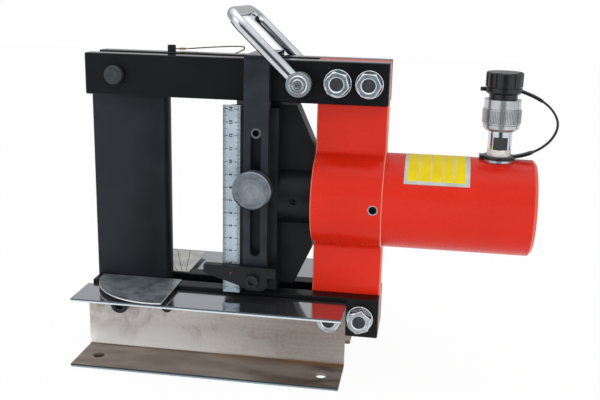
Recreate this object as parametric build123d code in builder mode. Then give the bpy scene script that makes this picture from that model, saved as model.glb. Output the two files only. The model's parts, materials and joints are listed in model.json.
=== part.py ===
# Hydraulic busbar bender: a double-beam open frame with a ram head and barrel at one end, a fixed
# forming column at the other, and a grooved die that the ram drives against the column.
# X runs along the ram towards the barrel, Y from front to back, Z up; the origin is on the bench,
# at the centre of the four foot holes. All sizes are in millimetres.
import math
import os

from build123d import *

os.makedirs("parts", exist_ok=True)

# Clearances
run_gap = 0.05
slide_gap = 0.3
seat_gap = 0.1
bolt_gap = 0.2

# Frame beams
beam_length = 233.0
beam_height = 31.6
beam_thick = 13.0
beam_left = -102.5
beam_lift = 26.5
beam_chamfer = 0.7
frame_gap = 17.0
window_height = 151.1
ram_above_beam = 76.1

# Foot channels
channel_past_beam = 3.0
channel_end_gap = 0.4
channel_height = 55.2
channel_sheet = 2.5
channel_bend = 3.0
top_flange = 38.5
rear_top_flange = 58.5
foot_flange = 43.0
foot_hole_r = 4.5
foot_hole_inset = 15.5
foot_hole_y = 45.0

# Forming column with its locking pin and lower bolts
column_width = 56.0
column_nose = 5.0
column_inset = 1.6
pin_r = 5.0
pin_head_r = 7.2
pin_head = 6.0
pin_tail = 2.5
pin_chamfer = 1.0
pin_from_left = 24.2
column_bolt_r = 4.0
column_bolt_head_r = 7.2
column_bolt_from_left = 25.5
foot_bolt_r = 2.5
foot_bolt_head_r = 4.5
foot_bolt_from_nose = 3.2
lower_bolt_drop = 0.9

# Angle sectors beside the column
sector_thick = 1.0
sector_inset = 1.5
sector_r = 56.0
sector_past_nose = 10.5

# Ram head, barrel and ram
head_width = 54.3
head_inset = 0.2
hub_r = 37.5
hub_round = 2.0
crease_r = 5.0
gland_r = 24.0
gland_length = 12.0
hub_wall = 5.5
spigot_wall = 3.0
spigot_length = 20.0
barrel_length = 111.5
barrel_r = 36.5
barrel_chamfer = 2.5
barrel_end = 12.0
lock_screw_r = 3.9
lock_screw_from_end = 7.0
lock_screw_sink = 0.8
lock_screw_socket_r = 2.8
rod_r = 16.0
piston_length = 18.0
piston_park = 24.0

# Frame bolts through the head
stud_r = 5.0
stud_from_head_left = 16.7
stud_pitch = 23.4
washer_r = 10.4
web_washer_r = 9.2
washer_thick = 2.0
nut_flats = 17.0
nut_thick = 8.0
nut_chamfer = 1.2
nut_bore_chamfer = 0.8
stud_recess = 1.5
stud_head = 6.4

# Pusher and die
park_gap = 1.2
pusher_thick = 17.0
pusher_length = 25.5
pusher_half = 71.5
pusher_back_half = 41.0
pusher_land = 11.5
boss_r = 23.0
boss_screw_r = 3.1
boss_screw_from_face = 12.5
boss_screw_sink = 2.5
rod_entry = 14.0
die_width = 41.5
die_overhang = 0.9
die_floor_gap = 2.1
die_roof_gap = 4.4
groove_half = 17.0
groove_depth = 17.0
groove_root_r = 4.0

# Height-set saddle that rides on the die
leg_width = 19.0
leg_thick = 8.8
leg_from_die_right = 25.1
leg_lap = 16.0
bridge_thick = 3.0
slot_width = 8.0
slot_foot = 29.3
slot_length = 100.0
saddle_round = 1.5
guide_head_gap = 0.1
guide_shank_r = 2.5
guide_depth = 10.0
arm_thick = 7.0
arm_top_above_die = 22.3
arm_tip_height = 6.8
arm_height = 18.8
arm_left_reach = 39.0
arm_lug_reach = 17.8
arm_lug_height = 8.4
arm_right_reach = 11.5
arm_screw_r = 3.0
arm_screw_head_r = 5.0
arm_screw_head = 5.0
arm_screw_drop = 10.2
arm_screw_chamfer = 0.5
arm_heel = 9.8
arm_heel_rise = 3.0
arm_boss_left = 4.0
arm_round = 6.0

# Rule on its backing bar
bar_thick = 7.8
bar_left_inset = 0.9
rule_width = 13.9
rule_thick = 1.0
rule_left_inset = 0.7
rule_floor_gap = 0.6
rule_roof_gap = 2.3

# Clamp knob
knob_r = 14.7
knob_thick = 9.0
knob_neck_r = 8.0
knob_neck = 5.7
knob_stud_r = 2.8
knob_above_slot_foot = 55.0
knob_edge = 0.8

# Carrying handle
handle_r = 4.7
handle_leg = 70.5
handle_bend_r = 13.0
handle_lean = 46.5
handle_from_head = 9.8
handle_side_gap = 0.8
eye_r = 9.0
eye_inset = 0.5
spacer_r = 6.0
handle_screw_r = 4.0
handle_screw_flange_r = 6.8
handle_screw_flange = 1.4
handle_screw_head_r = 4.4
handle_screw_head = 2.8
handle_screw_round = 1.2
handle_socket_r = 2.3
handle_screw_grip = 12.0

# Quick coupler, dust cap and strap
coupler_from_end = 28.1
port_r = 6.0
spot_depth = 1.2
seal_r = 11.6
seal_thick = 1.6
strap_ring_r = 12.2
strap_ring_thick = 2.8
strap_tab_reach = 14.4
strap_tab_width = 9.0
neck_r = 7.0
nipple_r = 8.9
nipple_height = 19.0
sleeve_r = 10.2
flat_half = 7.2
flat_height = 9.5
flat_rise = 5.0
oil_bore_r = 5.0
oil_bore_depth = 18.0
collar_r = 14.0
collar_height = 23.2
collar_low_band = 5.4
collar_top_band = 7.2
collar_step = 0.5
collar_chamfer = 2.0
collar_groove = 0.8
cap_r = 13.6
cap_height = 10.5
cap_skirt_r = 10.4
cap_skirt = 4.0
cap_flange_r = 13.6
cap_flange = 4.4
cap_flange_chamfer = 1.6
cap_neck_r = 12.2
cap_neck = 1.0
cap_flutes = 8
cap_flute_r = 5.0
cap_flute_out = 4.2
cap_chamfer = 0.8
cap_plug = 10.0
cap_tab_reach = 17.0
cap_tab_width = 3.0
strap_thick = 2.0
strap_width = 6.0
strap_loop = 30.0
strap_bend_r = 13.0
strap_low_back = 6.0
strap_low_rise = 4.0
strap_top_back = 8.0
strap_top_drop = 7.0

# Wire lanyard behind the frame
wire_r = 0.55
wire_hole_depth = 4.0
anchor_from_nose = -3.0
anchor_r = 3.3
anchor_head = 5.2
anchor_shank_r = 2.0
anchor_depth = 8.0

# Places worked out from the sizes above
beam_right = beam_left + beam_length
beam_mid = (beam_left + beam_right) / 2
frame_half = frame_gap / 2 + beam_thick
low_top = beam_lift + beam_height
top_bottom = low_top + window_height
top_top = top_bottom + beam_height
low_mid = beam_lift + beam_height / 2
top_mid = top_bottom + beam_height / 2
ram_axis = low_top + ram_above_beam
web_face = frame_half + channel_sheet
fill_half = frame_gap / 2 - seat_gap

column_face = beam_left + column_width
nose_tip = column_face + column_nose
pin_x = beam_left + pin_from_left
column_bolt_x = beam_left + column_bolt_from_left
foot_bolt_x = nose_tip + foot_bolt_from_nose
lower_bolt_z = low_mid - lower_bolt_drop
sector_right = nose_tip + sector_past_nose
sector_top = low_top + sector_thick

head_left = beam_right - head_width
head_mid = (head_left + beam_right) / 2
stud_xs = (head_left + stud_from_head_left, head_left + stud_from_head_left + stud_pitch)
channel_left = beam_left - channel_past_beam
channel_right = stud_xs[1] - washer_r - channel_end_gap
foot_hole_xs = (channel_left + foot_hole_inset, channel_right - foot_hole_inset)
spigot_r = hub_r - hub_wall
barrel_bore_r = spigot_r - spigot_wall
barrel_right = beam_right + barrel_length
bore_right = barrel_right - barrel_end
lock_screw_x = beam_right - lock_screw_from_end
ram_line = Axis((0, 0, ram_axis), (1, 0, 0))

pusher_right = head_left - park_gap
die_right = pusher_right - pusher_length
die_left = die_right - die_width
die_half = frame_half + die_overhang
die_bottom = sector_top + die_floor_gap
die_top = top_bottom - die_roof_gap
boss_screw_x = die_right + boss_screw_from_face

leg_left = die_right - leg_from_die_right
leg_mid = leg_left + leg_width / 2
leg_back = die_half + slide_gap
leg_front = leg_back + leg_thick
arm_top = die_bottom + arm_top_above_die
leg_bottom = arm_top - leg_lap
bridge_bottom = top_top + slide_gap
bridge_top = bridge_bottom + bridge_thick
slot_bottom = die_bottom + slot_foot
slot_top = slot_bottom + slot_length
guide_z = slot_top - slot_width / 2
knob_z = slot_bottom + knob_above_slot_foot
arm_front = leg_front + arm_thick
arm_screw_z = arm_top - arm_screw_drop
bar_front = die_half + bar_thick

handle_x = head_left - handle_from_head
rod_y = leg_front + handle_side_gap + handle_r
eye_inner = rod_y - handle_r + eye_inset
eye_outer = rod_y + handle_r - eye_inset

coupler_x = barrel_right - coupler_from_end
spot_z = ram_axis + barrel_r - spot_depth
port_bottom = ram_axis + barrel_bore_r
ring_z = spot_z + seal_thick
nipple_z = ring_z + strap_ring_thick
collar_z = nipple_z + nipple_height
collar_top = collar_z + collar_height
sleeve_top = collar_top
flange_z = sleeve_top + cap_skirt
coupler_line = Axis((coupler_x, 0, 0), (0, 0, 1))

# Route of the wire lanyard: from the anchor screw back and along behind the frame, then down and
# back into a hole in the rear beam; each step is from the anchor's X, the rear face and the top
anchor_x = nose_tip + anchor_from_nose
wire_steps = [
    (1.3, -3.3, 2.0), (8.0, 12.4, 1.0), (18.0, 13.0, 2.2), (52.6, 14.5, 4.9), (55.4, 15.3, 2.4),
    (46.0, 15.5, -2.0), (7.5, 13.3, -14.8), (-5.5, 9.0, -16.8), (-5.5, -3.0, -16.8),
]
wire_route = [(anchor_x + along, frame_half + back, top_top + up) for along, back, up in wire_steps]


def bend_radii(route):
    points = [Vector(*point) for point in route]
    radii = []
    for before, here, after in zip(points, points[1:], points[2:]):
        turn = math.radians((here - before).get_angle(after - here))
        shorter = min((here - before).length, (after - here).length)
        radii.append(0.45 * shorter / math.tan(turn / 2))
    return radii


# Upper front beam, with holes for the head bolts, the locking pin and the handle screw
with BuildPart() as beam_top_front:
    with BuildSketch(Plane.XZ.offset(frame_half)):
        with Locations((beam_mid, top_mid)):
            Rectangle(beam_length, beam_height)
    extrude(amount=-beam_thick)
    chamfer(beam_top_front.edges(), beam_chamfer)
    with BuildSketch(Plane.XZ.offset(frame_half)):
        with Locations(*[(x, top_mid) for x in stud_xs]):
            Circle(stud_r + bolt_gap)
        with Locations((pin_x, top_mid)):
            Circle(pin_r + run_gap)
        with Locations((handle_x, top_mid)):
            Circle(handle_screw_r + bolt_gap)
    extrude(amount=-beam_thick, mode=Mode.SUBTRACT)
beam_top_front.part.label = "beam_top_front"
export_step(beam_top_front.part, "parts/beam_top_front.step")

# Upper rear beam, the mirror image, with the lanyard screw's hole in its top
with BuildPart() as beam_top_rear:
    mirror(beam_top_front.part, about=Plane.XZ)
    with BuildSketch(Plane.XY.offset(top_top)):
        with Locations((anchor_x, frame_half - beam_thick / 2)):
            Circle(anchor_shank_r + bolt_gap)
    extrude(amount=-anchor_depth, mode=Mode.SUBTRACT)
    with BuildSketch(Plane.XZ.offset(-frame_half)):
        with Locations((wire_route[-1][0], wire_route[-1][2])):
            Circle(wire_r + bolt_gap)
    extrude(amount=wire_hole_depth, mode=Mode.SUBTRACT)
beam_top_rear.part.label = "beam_top_rear"
export_step(beam_top_rear.part, "parts/beam_top_rear.step")

# Lower front beam
with BuildPart() as beam_low_front:
    with BuildSketch(Plane.XZ.offset(frame_half)):
        with Locations((beam_mid, low_mid)):
            Rectangle(beam_length, beam_height)
    extrude(amount=-beam_thick)
    chamfer(beam_low_front.edges(), beam_chamfer)
    with BuildSketch(Plane.XZ.offset(frame_half)):
        with Locations(*[(x, low_mid) for x in stud_xs]):
            Circle(stud_r + bolt_gap)
        with Locations((column_bolt_x, lower_bolt_z)):
            Circle(column_bolt_r + bolt_gap)
        with Locations((foot_bolt_x, lower_bolt_z)):
            Circle(foot_bolt_r + bolt_gap)
    extrude(amount=-beam_thick, mode=Mode.SUBTRACT)
beam_low_front.part.label = "beam_low_front"
export_step(beam_low_front.part, "parts/beam_low_front.step")

# Lower rear beam
with BuildPart() as beam_low_rear:
    mirror(beam_low_front.part, about=Plane.XZ)
beam_low_rear.part.label = "beam_low_rear"
export_step(beam_low_rear.part, "parts/beam_low_rear.step")

# Forming column: fills the gap between the beams and turns a crowned nose towards the die
with BuildPart() as forming_column:
    with BuildSketch(Plane.XY.offset(beam_lift + column_inset)):
        with BuildLine():
            Polyline(
                (column_face, -fill_half), (beam_left, -fill_half), (beam_left, fill_half),
                (column_face, fill_half),
            )
            ThreePointArc((column_face, fill_half), (nose_tip, 0), (column_face, -fill_half))
        make_face()
    extrude(amount=top_top - beam_lift - 2 * column_inset)
    with BuildSketch(Plane.XZ):
        with Locations((pin_x, top_mid)):
            Circle(pin_r + run_gap)
        with Locations((column_bolt_x, lower_bolt_z)):
            Circle(column_bolt_r + bolt_gap)
    extrude(amount=frame_gap, both=True, mode=Mode.SUBTRACT)
forming_column.part.label = "forming_column"
export_step(forming_column.part, "parts/forming_column.step")

# Locking pin that holds the column's head, pulled out to the front
with BuildPart() as locking_pin:
    with BuildSketch(Plane.XZ.offset(frame_half)):
        with Locations((pin_x, top_mid)):
            Circle(pin_head_r)
    extrude(amount=pin_head)
    chamfer(locking_pin.faces().sort_by(Axis.Y)[0].edges(), pin_chamfer)
    with BuildSketch(Plane.XZ.offset(frame_half)):
        with Locations((pin_x, top_mid)):
            Circle(pin_r)
    extrude(amount=-(2 * frame_half + pin_tail))
    chamfer(locking_pin.faces().sort_by(Axis.Y)[-1].edges(), pin_chamfer)
locking_pin.part.label = "locking_pin"
export_step(locking_pin.part, "parts/locking_pin.step")

# Socket-head bolts through the foot channels and lower beams, each with a nut at the back
lower_bolts = {
    "column_bolt": (column_bolt_x, column_bolt_r, column_bolt_head_r),
    "foot_bolt": (foot_bolt_x, foot_bolt_r, foot_bolt_head_r),
}
for bolt_name, (bolt_x, bolt_r, bolt_head_r) in lower_bolts.items():
    bolt_nut = 1.6 * bolt_r
    with BuildPart() as lower_bolt:
        with BuildSketch(Plane.XZ.offset(web_face)):
            with Locations((bolt_x, lower_bolt_z)):
                Circle(bolt_head_r)
        extrude(amount=2 * bolt_r)
        chamfer(lower_bolt.faces().sort_by(Axis.Y)[0].edges(), 0.15 * bolt_r)
        with BuildSketch(Plane.XZ.offset(web_face + bolt_r)):
            with Locations((bolt_x, lower_bolt_z)):
                RegularPolygon(bolt_r, 6)
        extrude(amount=bolt_r, mode=Mode.SUBTRACT)
        with BuildSketch(Plane.XZ.offset(web_face)):
            with Locations((bolt_x, lower_bolt_z)):
                Circle(bolt_r)
        extrude(amount=-(2 * web_face + bolt_nut))
    lower_bolt.part.label = bolt_name
    export_step(lower_bolt.part, f"parts/{bolt_name}.step")

    with BuildPart() as lower_nut:
        with BuildSketch(Plane.XZ.offset(-web_face)):
            with Locations((bolt_x, lower_bolt_z)):
                RegularPolygon(1.85 * bolt_r, 6)
                Circle(bolt_r + run_gap, mode=Mode.SUBTRACT)
        extrude(amount=-bolt_nut)
    lower_nut.part.label = f"{bolt_name}_nut"
    export_step(lower_nut.part, f"parts/{bolt_name}_nut.step")

# Angle sectors: quarter plates that lie on the lower beams beside the column
sector_back = frame_gap / 2 + sector_inset
with BuildPart() as sector_front:
    with BuildSketch(Plane.XY.offset(low_top)):
        with Locations((nose_tip, -sector_back)):
            Circle(sector_r)
        with Locations((sector_right, -sector_back)):
            Rectangle(3 * sector_r, 2 * sector_r, align=(Align.MAX, Align.MAX), mode=Mode.INTERSECT)
    extrude(amount=sector_thick)
sector_front.part.label = "sector_front"
export_step(sector_front.part, "parts/sector_front.step")

with BuildPart() as sector_rear:
    mirror(sector_front.part, about=Plane.XZ)
sector_rear.part.label = "sector_rear"
export_step(sector_rear.part, "parts/sector_rear.step")

# Foot channels: bent sheet, open away from the frame
with BuildPart() as channel_front:
    with BuildSketch(Plane.YZ.offset(channel_left)) as channel_profile:
        with BuildLine():
            Polyline(
                (-frame_half, 0), (-frame_half - foot_flange, 0),
                (-frame_half - foot_flange, channel_sheet), (-web_face, channel_sheet),
                (-web_face, channel_height - channel_sheet),
                (-frame_half - top_flange, channel_height - channel_sheet),
                (-frame_half - top_flange, channel_height), (-frame_half, channel_height),
                close=True,
            )
        make_face()
        fillet(channel_profile.vertices().group_by(Axis.X)[-1], channel_bend)
    extrude(amount=channel_right - channel_left)
    with BuildSketch(Plane.XY):
        with Locations(*[(x, -foot_hole_y) for x in foot_hole_xs]):
            Circle(foot_hole_r)
    extrude(amount=channel_sheet, mode=Mode.SUBTRACT)
    with BuildSketch(Plane.XZ.offset(frame_half)):
        with Locations((stud_xs[0], low_mid)):
            Circle(stud_r + bolt_gap)
        with Locations((column_bolt_x, lower_bolt_z)):
            Circle(column_bolt_r + bolt_gap)
        with Locations((foot_bolt_x, lower_bolt_z)):
            Circle(foot_bolt_r + bolt_gap)
    extrude(amount=channel_sheet, mode=Mode.SUBTRACT)
channel_front.part.label = "channel_front"
export_step(channel_front.part, "parts/channel_front.step")

# The rear channel is the front one turned round, with a deeper top flange
with BuildPart() as channel_rear:
    mirror(channel_front.part, about=Plane.XZ)
    with BuildSketch(Plane.YZ.offset(channel_left)):
        strip_mid = frame_half + (channel_bend + rear_top_flange) / 2
        with Locations((strip_mid, channel_height - channel_sheet / 2)):
            Rectangle(rear_top_flange - channel_bend, channel_sheet)
    extrude(amount=channel_right - channel_left)
channel_rear.part.label = "channel_rear"
export_step(channel_rear.part, "parts/channel_rear.step")

# Ram head: hub on the ram's line with flat arms up and down between the beams
with BuildPart() as ram_head:
    with BuildSketch(Plane.XZ.offset(fill_half)):
        with Locations((head_mid, (beam_lift + top_top) / 2)):
            Rectangle(head_width, top_top - beam_lift - 2 * head_inset)
    extrude(amount=-2 * fill_half)
    with BuildSketch(Plane.YZ.offset(head_left)):
        with Locations((0, ram_axis)):
            Circle(hub_r)
    extrude(amount=head_width)
    crease_edges = ram_head.edges().filter_by(Axis.X).filter_by(
        lambda edge: abs(edge.center().Z - ram_axis) < hub_r
    )
    fillet(crease_edges, crease_r)
    hub_edges = ram_head.edges().filter_by(GeomType.CIRCLE).filter_by(
        lambda edge: abs(edge.radius - hub_r) < 0.01
    )
    fillet(hub_edges, hub_round)
    with BuildSketch(Plane.YZ.offset(head_left)):
        with Locations((0, ram_axis)):
            Circle(gland_r)
    extrude(amount=gland_length, mode=Mode.SUBTRACT)
    with BuildSketch(Plane.YZ.offset(head_left)):
        with Locations((0, ram_axis)):
            Circle(rod_r + slide_gap)
    extrude(amount=head_width, mode=Mode.SUBTRACT)
    with BuildSketch(Plane.YZ.offset(beam_right - spigot_length)):
        with Locations((0, ram_axis)):
            Circle(spigot_r)
    extrude(amount=spigot_length, mode=Mode.SUBTRACT)
    with BuildSketch(Plane.XZ):
        with Locations(*[(x, z) for x in stud_xs for z in (low_mid, top_mid)]):
            Circle(stud_r + bolt_gap)
    extrude(amount=frame_gap, both=True, mode=Mode.SUBTRACT)
    with BuildSketch(Plane.XZ):
        with Locations((lock_screw_x, ram_axis)):
            Circle(lock_screw_r)
    extrude(amount=hub_r, mode=Mode.SUBTRACT)
ram_head.part.label = "ram_head"
export_step(ram_head.part, "parts/ram_head.step")

# Gland that guides the rod in the head's face
with BuildPart() as gland:
    with BuildSketch(Plane.YZ.offset(head_left)):
        with Locations((0, ram_axis)):
            Circle(gland_r - run_gap)
            Circle(rod_r + run_gap, mode=Mode.SUBTRACT)
    extrude(amount=gland_length - run_gap)
gland.part.label = "gland"
export_step(gland.part, "parts/gland.step")

# Set screw that locks the barrel's thread
with BuildPart() as lock_screw:
    with BuildSketch(Plane.XZ.offset(spigot_r)):
        with Locations((lock_screw_x, ram_axis)):
            Circle(lock_screw_r - run_gap)
    extrude(amount=hub_r - spigot_r - lock_screw_sink)
    with BuildSketch(Plane.XZ.offset(hub_r - lock_screw_sink)):
        with Locations((lock_screw_x, ram_axis)):
            RegularPolygon(lock_screw_socket_r, 6)
    extrude(amount=-0.6 * (hub_r - spigot_r - lock_screw_sink), mode=Mode.SUBTRACT)
lock_screw.part.label = "lock_screw"
export_step(lock_screw.part, "parts/lock_screw.step")

# Barrel: closed cylinder with a chamfered end and the coupler's port on top
spigot_left = beam_right - spigot_length
with BuildPart() as barrel:
    with BuildSketch(Plane.XZ) as barrel_profile:
        with BuildLine():
            Polyline(
                (spigot_left, ram_axis + barrel_bore_r), (spigot_left, ram_axis + spigot_r - run_gap),
                (beam_right, ram_axis + spigot_r - run_gap), (beam_right, ram_axis + barrel_r),
                (barrel_right, ram_axis + barrel_r), (barrel_right, ram_axis),
                (bore_right, ram_axis), (bore_right, ram_axis + barrel_bore_r),
                close=True,
            )
        make_face()
        chamfer(barrel_profile.vertices().group_by(Axis.X)[-1].sort_by(Axis.Y)[-1], barrel_chamfer)
    revolve(axis=ram_line)
    with BuildSketch(Plane.XY.offset(spot_z)):
        with Locations((coupler_x, 0)):
            Circle(seal_r + bolt_gap)
    extrude(amount=barrel_r, mode=Mode.SUBTRACT)
    with BuildSketch(Plane.XY.offset(ram_axis)):
        with Locations((coupler_x, 0)):
            Circle(port_r)
    extrude(amount=barrel_r, mode=Mode.SUBTRACT)
barrel.part.label = "barrel"
export_step(barrel.part, "parts/barrel.step")

# Ram: rod and piston in one piece
piston_right = bore_right - piston_park
piston_left = piston_right - piston_length
rod_left = pusher_right - rod_entry
with BuildPart() as ram:
    with BuildSketch(Plane.XZ):
        with BuildLine():
            Polyline(
                (rod_left, ram_axis), (rod_left, ram_axis + rod_r), (piston_left, ram_axis + rod_r),
                (piston_left, ram_axis + barrel_bore_r - run_gap),
                (piston_right, ram_axis + barrel_bore_r - run_gap), (piston_right, ram_axis),
                close=True,
            )
        make_face()
    revolve(axis=ram_line)
ram.part.label = "ram"
export_step(ram.part, "parts/ram.step")

# Frame bolts: hexagon head at the back, washer and nut at the front; the inner lower bolt
# also clamps the webs of the foot channels
frame_bolts = {
    "top_inner": (stud_xs[0], top_mid, 0.0, washer_r, -14),
    "top_outer": (stud_xs[1], top_mid, 0.0, washer_r, -2),
    "low_inner": (stud_xs[0], low_mid, channel_sheet, web_washer_r, 0),
    "low_outer": (stud_xs[1], low_mid, 0.0, washer_r, 19),
}
nut_corner_r = nut_flats / math.sqrt(3)
for place, (bolt_x, bolt_z, packing, rim_r, nut_turn) in frame_bolts.items():
    washer_y = frame_half + packing
    nut_y = washer_y + washer_thick
    with BuildPart() as frame_bolt:
        with BuildSketch(Plane.XZ.offset(nut_y + nut_thick - stud_recess)):
            with Locations((bolt_x, bolt_z)):
                Circle(stud_r)
        extrude(amount=-(nut_y + nut_thick - stud_recess + washer_y))
        with BuildSketch(Plane.XZ.offset(-washer_y)):
            with Locations((bolt_x, bolt_z)):
                RegularPolygon(nut_corner_r, 6)
        extrude(amount=-stud_head)
    frame_bolt.part.label = f"bolt_{place}"
    export_step(frame_bolt.part, f"parts/bolt_{place}.step")

    with BuildPart() as washer:
        with BuildSketch(Plane.XZ.offset(washer_y)):
            with Locations((bolt_x, bolt_z)):
                Circle(rim_r)
                Circle(stud_r + bolt_gap, mode=Mode.SUBTRACT)
        extrude(amount=washer_thick)
    washer.part.label = f"washer_{place}"
    export_step(washer.part, f"parts/washer_{place}.step")

    with BuildPart() as nut:
        with BuildSketch(Plane.XZ.offset(nut_y)):
            with Locations((bolt_x, bolt_z)):
                Circle(nut_corner_r)
        extrude(amount=nut_thick)
        chamfer(nut.faces().sort_by(Axis.Y)[0].edges(), nut_chamfer)
        with BuildSketch(Plane.XZ.offset(nut_y)):
            with Locations((bolt_x, bolt_z)):
                RegularPolygon(nut_corner_r, 6, rotation=nut_turn)
        extrude(amount=nut_thick, mode=Mode.INTERSECT)
        with BuildSketch(Plane.XZ.offset(nut_y)):
            with Locations((bolt_x, bolt_z)):
                Circle(stud_r + run_gap)
        extrude(amount=nut_thick, mode=Mode.SUBTRACT)
        chamfer(nut.faces().sort_by(Axis.Y)[0].inner_wires()[0].edges(), nut_bore_chamfer)
    nut.part.label = f"nut_{place}"
    export_step(nut.part, f"parts/nut_{place}.step")

# Pusher: upright gusset plate with a round boss that takes the rod
with BuildPart() as pusher:
    with BuildSketch(Plane.XZ.offset(pusher_thick / 2)):
        with BuildLine():
            Polyline(
                (die_right, ram_axis - pusher_half), (die_right + pusher_land, ram_axis - pusher_half),
                (pusher_right, ram_axis - pusher_back_half), (pusher_right, ram_axis + pusher_back_half),
                (die_right + pusher_land, ram_axis + pusher_half), (die_right, ram_axis + pusher_half),
                close=True,
            )
        make_face()
    extrude(amount=-pusher_thick)
    with BuildSketch(Plane.YZ.offset(die_right)):
        with Locations((0, ram_axis)):
            Circle(boss_r)
    extrude(amount=pusher_length)
    with BuildSketch(Plane.YZ.offset(rod_left)):
        with Locations((0, ram_axis)):
            Circle(rod_r + run_gap)
    extrude(amount=rod_entry, mode=Mode.SUBTRACT)
    with BuildSketch(Plane.XZ):
        with Locations((boss_screw_x, ram_axis)):
            Circle(boss_screw_r)
    extrude(amount=boss_r, mode=Mode.SUBTRACT)
pusher.part.label = "pusher"
export_step(pusher.part, "parts/pusher.step")

# Set screw that holds the pusher on the rod
boss_screw_length = boss_r - rod_r - boss_screw_sink - run_gap
with BuildPart() as boss_screw:
    with BuildSketch(Plane.XZ.offset(rod_r + run_gap)):
        with Locations((boss_screw_x, ram_axis)):
            Circle(boss_screw_r - run_gap)
    extrude(amount=boss_screw_length)
    with BuildSketch(Plane.XZ.offset(boss_r - boss_screw_sink)):
        with Locations((boss_screw_x, ram_axis)):
            RegularPolygon(0.6 * boss_screw_r, 6)
    extrude(amount=-0.6 * boss_screw_length, mode=Mode.SUBTRACT)
boss_screw.part.label = "boss_screw"
export_step(boss_screw.part, "parts/boss_screw.step")

# Die: upright block whose groove takes the column's nose
with BuildPart() as die:
    with BuildSketch(Plane.XY.offset(die_bottom)) as die_profile:
        with BuildLine():
            Polyline(
                (die_left, -groove_half), (die_left, -die_half), (die_right, -die_half),
                (die_right, die_half), (die_left, die_half), (die_left, groove_half),
                (die_left + groove_depth, 0), close=True,
            )
        make_face()
        groove_root = die_profile.vertices().sort_by_distance((die_left + groove_depth, 0, 0))[0]
        fillet(groove_root, groove_root_r)
    extrude(amount=die_top - die_bottom)
    with BuildSketch(Plane.XZ):
        with Locations((leg_mid, guide_z)):
            Circle(guide_shank_r + run_gap)
    extrude(amount=die_half, both=True, mode=Mode.SUBTRACT)
    with BuildSketch(Plane.XZ.offset(die_half)):
        with Locations((leg_mid, knob_z)):
            Circle(knob_stud_r + run_gap)
    extrude(amount=-guide_depth - slide_gap, mode=Mode.SUBTRACT)
die.part.label = "die"
export_step(die.part, "parts/die.step")

# Backing bar on the die's front, beside the saddle's leg
with BuildPart() as rule_bar:
    with BuildSketch(Plane.XZ.offset(die_half)):
        with BuildLine():
            Polyline(
                (die_left + bar_left_inset, die_bottom), (leg_left - slide_gap, die_bottom),
                (leg_left - slide_gap, die_top), (die_left + bar_left_inset, die_top), close=True,
            )
        make_face()
    extrude(amount=bar_thick)
rule_bar.part.label = "rule_bar"
export_step(rule_bar.part, "parts/rule_bar.step")

# Steel rule on the backing bar
rule_left = die_left + rule_left_inset
rule_bottom = sector_top + rule_floor_gap
rule_top = top_bottom - rule_roof_gap
with BuildPart() as rule:
    with BuildSketch(Plane.XZ.offset(bar_front)):
        with Locations((rule_left + rule_width / 2, (rule_bottom + rule_top) / 2)):
            Rectangle(rule_width, rule_top - rule_bottom)
    extrude(amount=rule_thick)
rule.part.label = "rule"
export_step(rule.part, "parts/rule.step")

# Saddle: bridge over the upper beams with a slotted leg in front and behind
with BuildPart() as saddle:
    with BuildSketch(Plane.YZ.offset(leg_left)) as saddle_profile:
        with BuildLine():
            Polyline(
                (-leg_front, leg_bottom), (-leg_front, bridge_top), (leg_front, bridge_top),
                (leg_front, leg_bottom), (leg_back, leg_bottom), (leg_back, bridge_bottom),
                (-leg_back, bridge_bottom), (-leg_back, leg_bottom), close=True,
            )
        make_face()
        fillet(saddle_profile.vertices().group_by(Axis.Y)[-1], saddle_round)
    extrude(amount=leg_width)
    with BuildSketch(Plane.XZ):
        with Locations((leg_mid, (slot_bottom + slot_top) / 2)):
            SlotOverall(slot_length, slot_width, rotation=90)
    extrude(amount=leg_front, both=True, mode=Mode.SUBTRACT)
    with BuildSketch(Plane.XZ):
        with Locations((leg_mid, arm_screw_z)):
            Circle(arm_screw_r + bolt_gap)
    extrude(amount=leg_front, both=True, mode=Mode.SUBTRACT)
saddle.part.label = "saddle"
export_step(saddle.part, "parts/saddle.step")

# Guide screws in the die, whose heads run in the slots
with BuildPart() as guide_screw_front:
    with BuildSketch(Plane.XZ.offset(die_half)):
        with Locations((leg_mid, guide_z)):
            Circle(slot_width / 2 - guide_head_gap)
    extrude(amount=leg_thick)
    with BuildSketch(Plane.XZ.offset(die_half + leg_thick)):
        with Locations((leg_mid, guide_z)):
            RegularPolygon(guide_shank_r, 6)
    extrude(amount=-leg_thick / 2, mode=Mode.SUBTRACT)
    with BuildSketch(Plane.XZ.offset(die_half)):
        with Locations((leg_mid, guide_z)):
            Circle(guide_shank_r)
    extrude(amount=-guide_depth)
guide_screw_front.part.label = "guide_screw_front"
export_step(guide_screw_front.part, "parts/guide_screw_front.step")

with BuildPart() as guide_screw_rear:
    mirror(guide_screw_front.part, about=Plane.XZ)
guide_screw_rear.part.label = "guide_screw_rear"
export_step(guide_screw_rear.part, "parts/guide_screw_rear.step")

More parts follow.
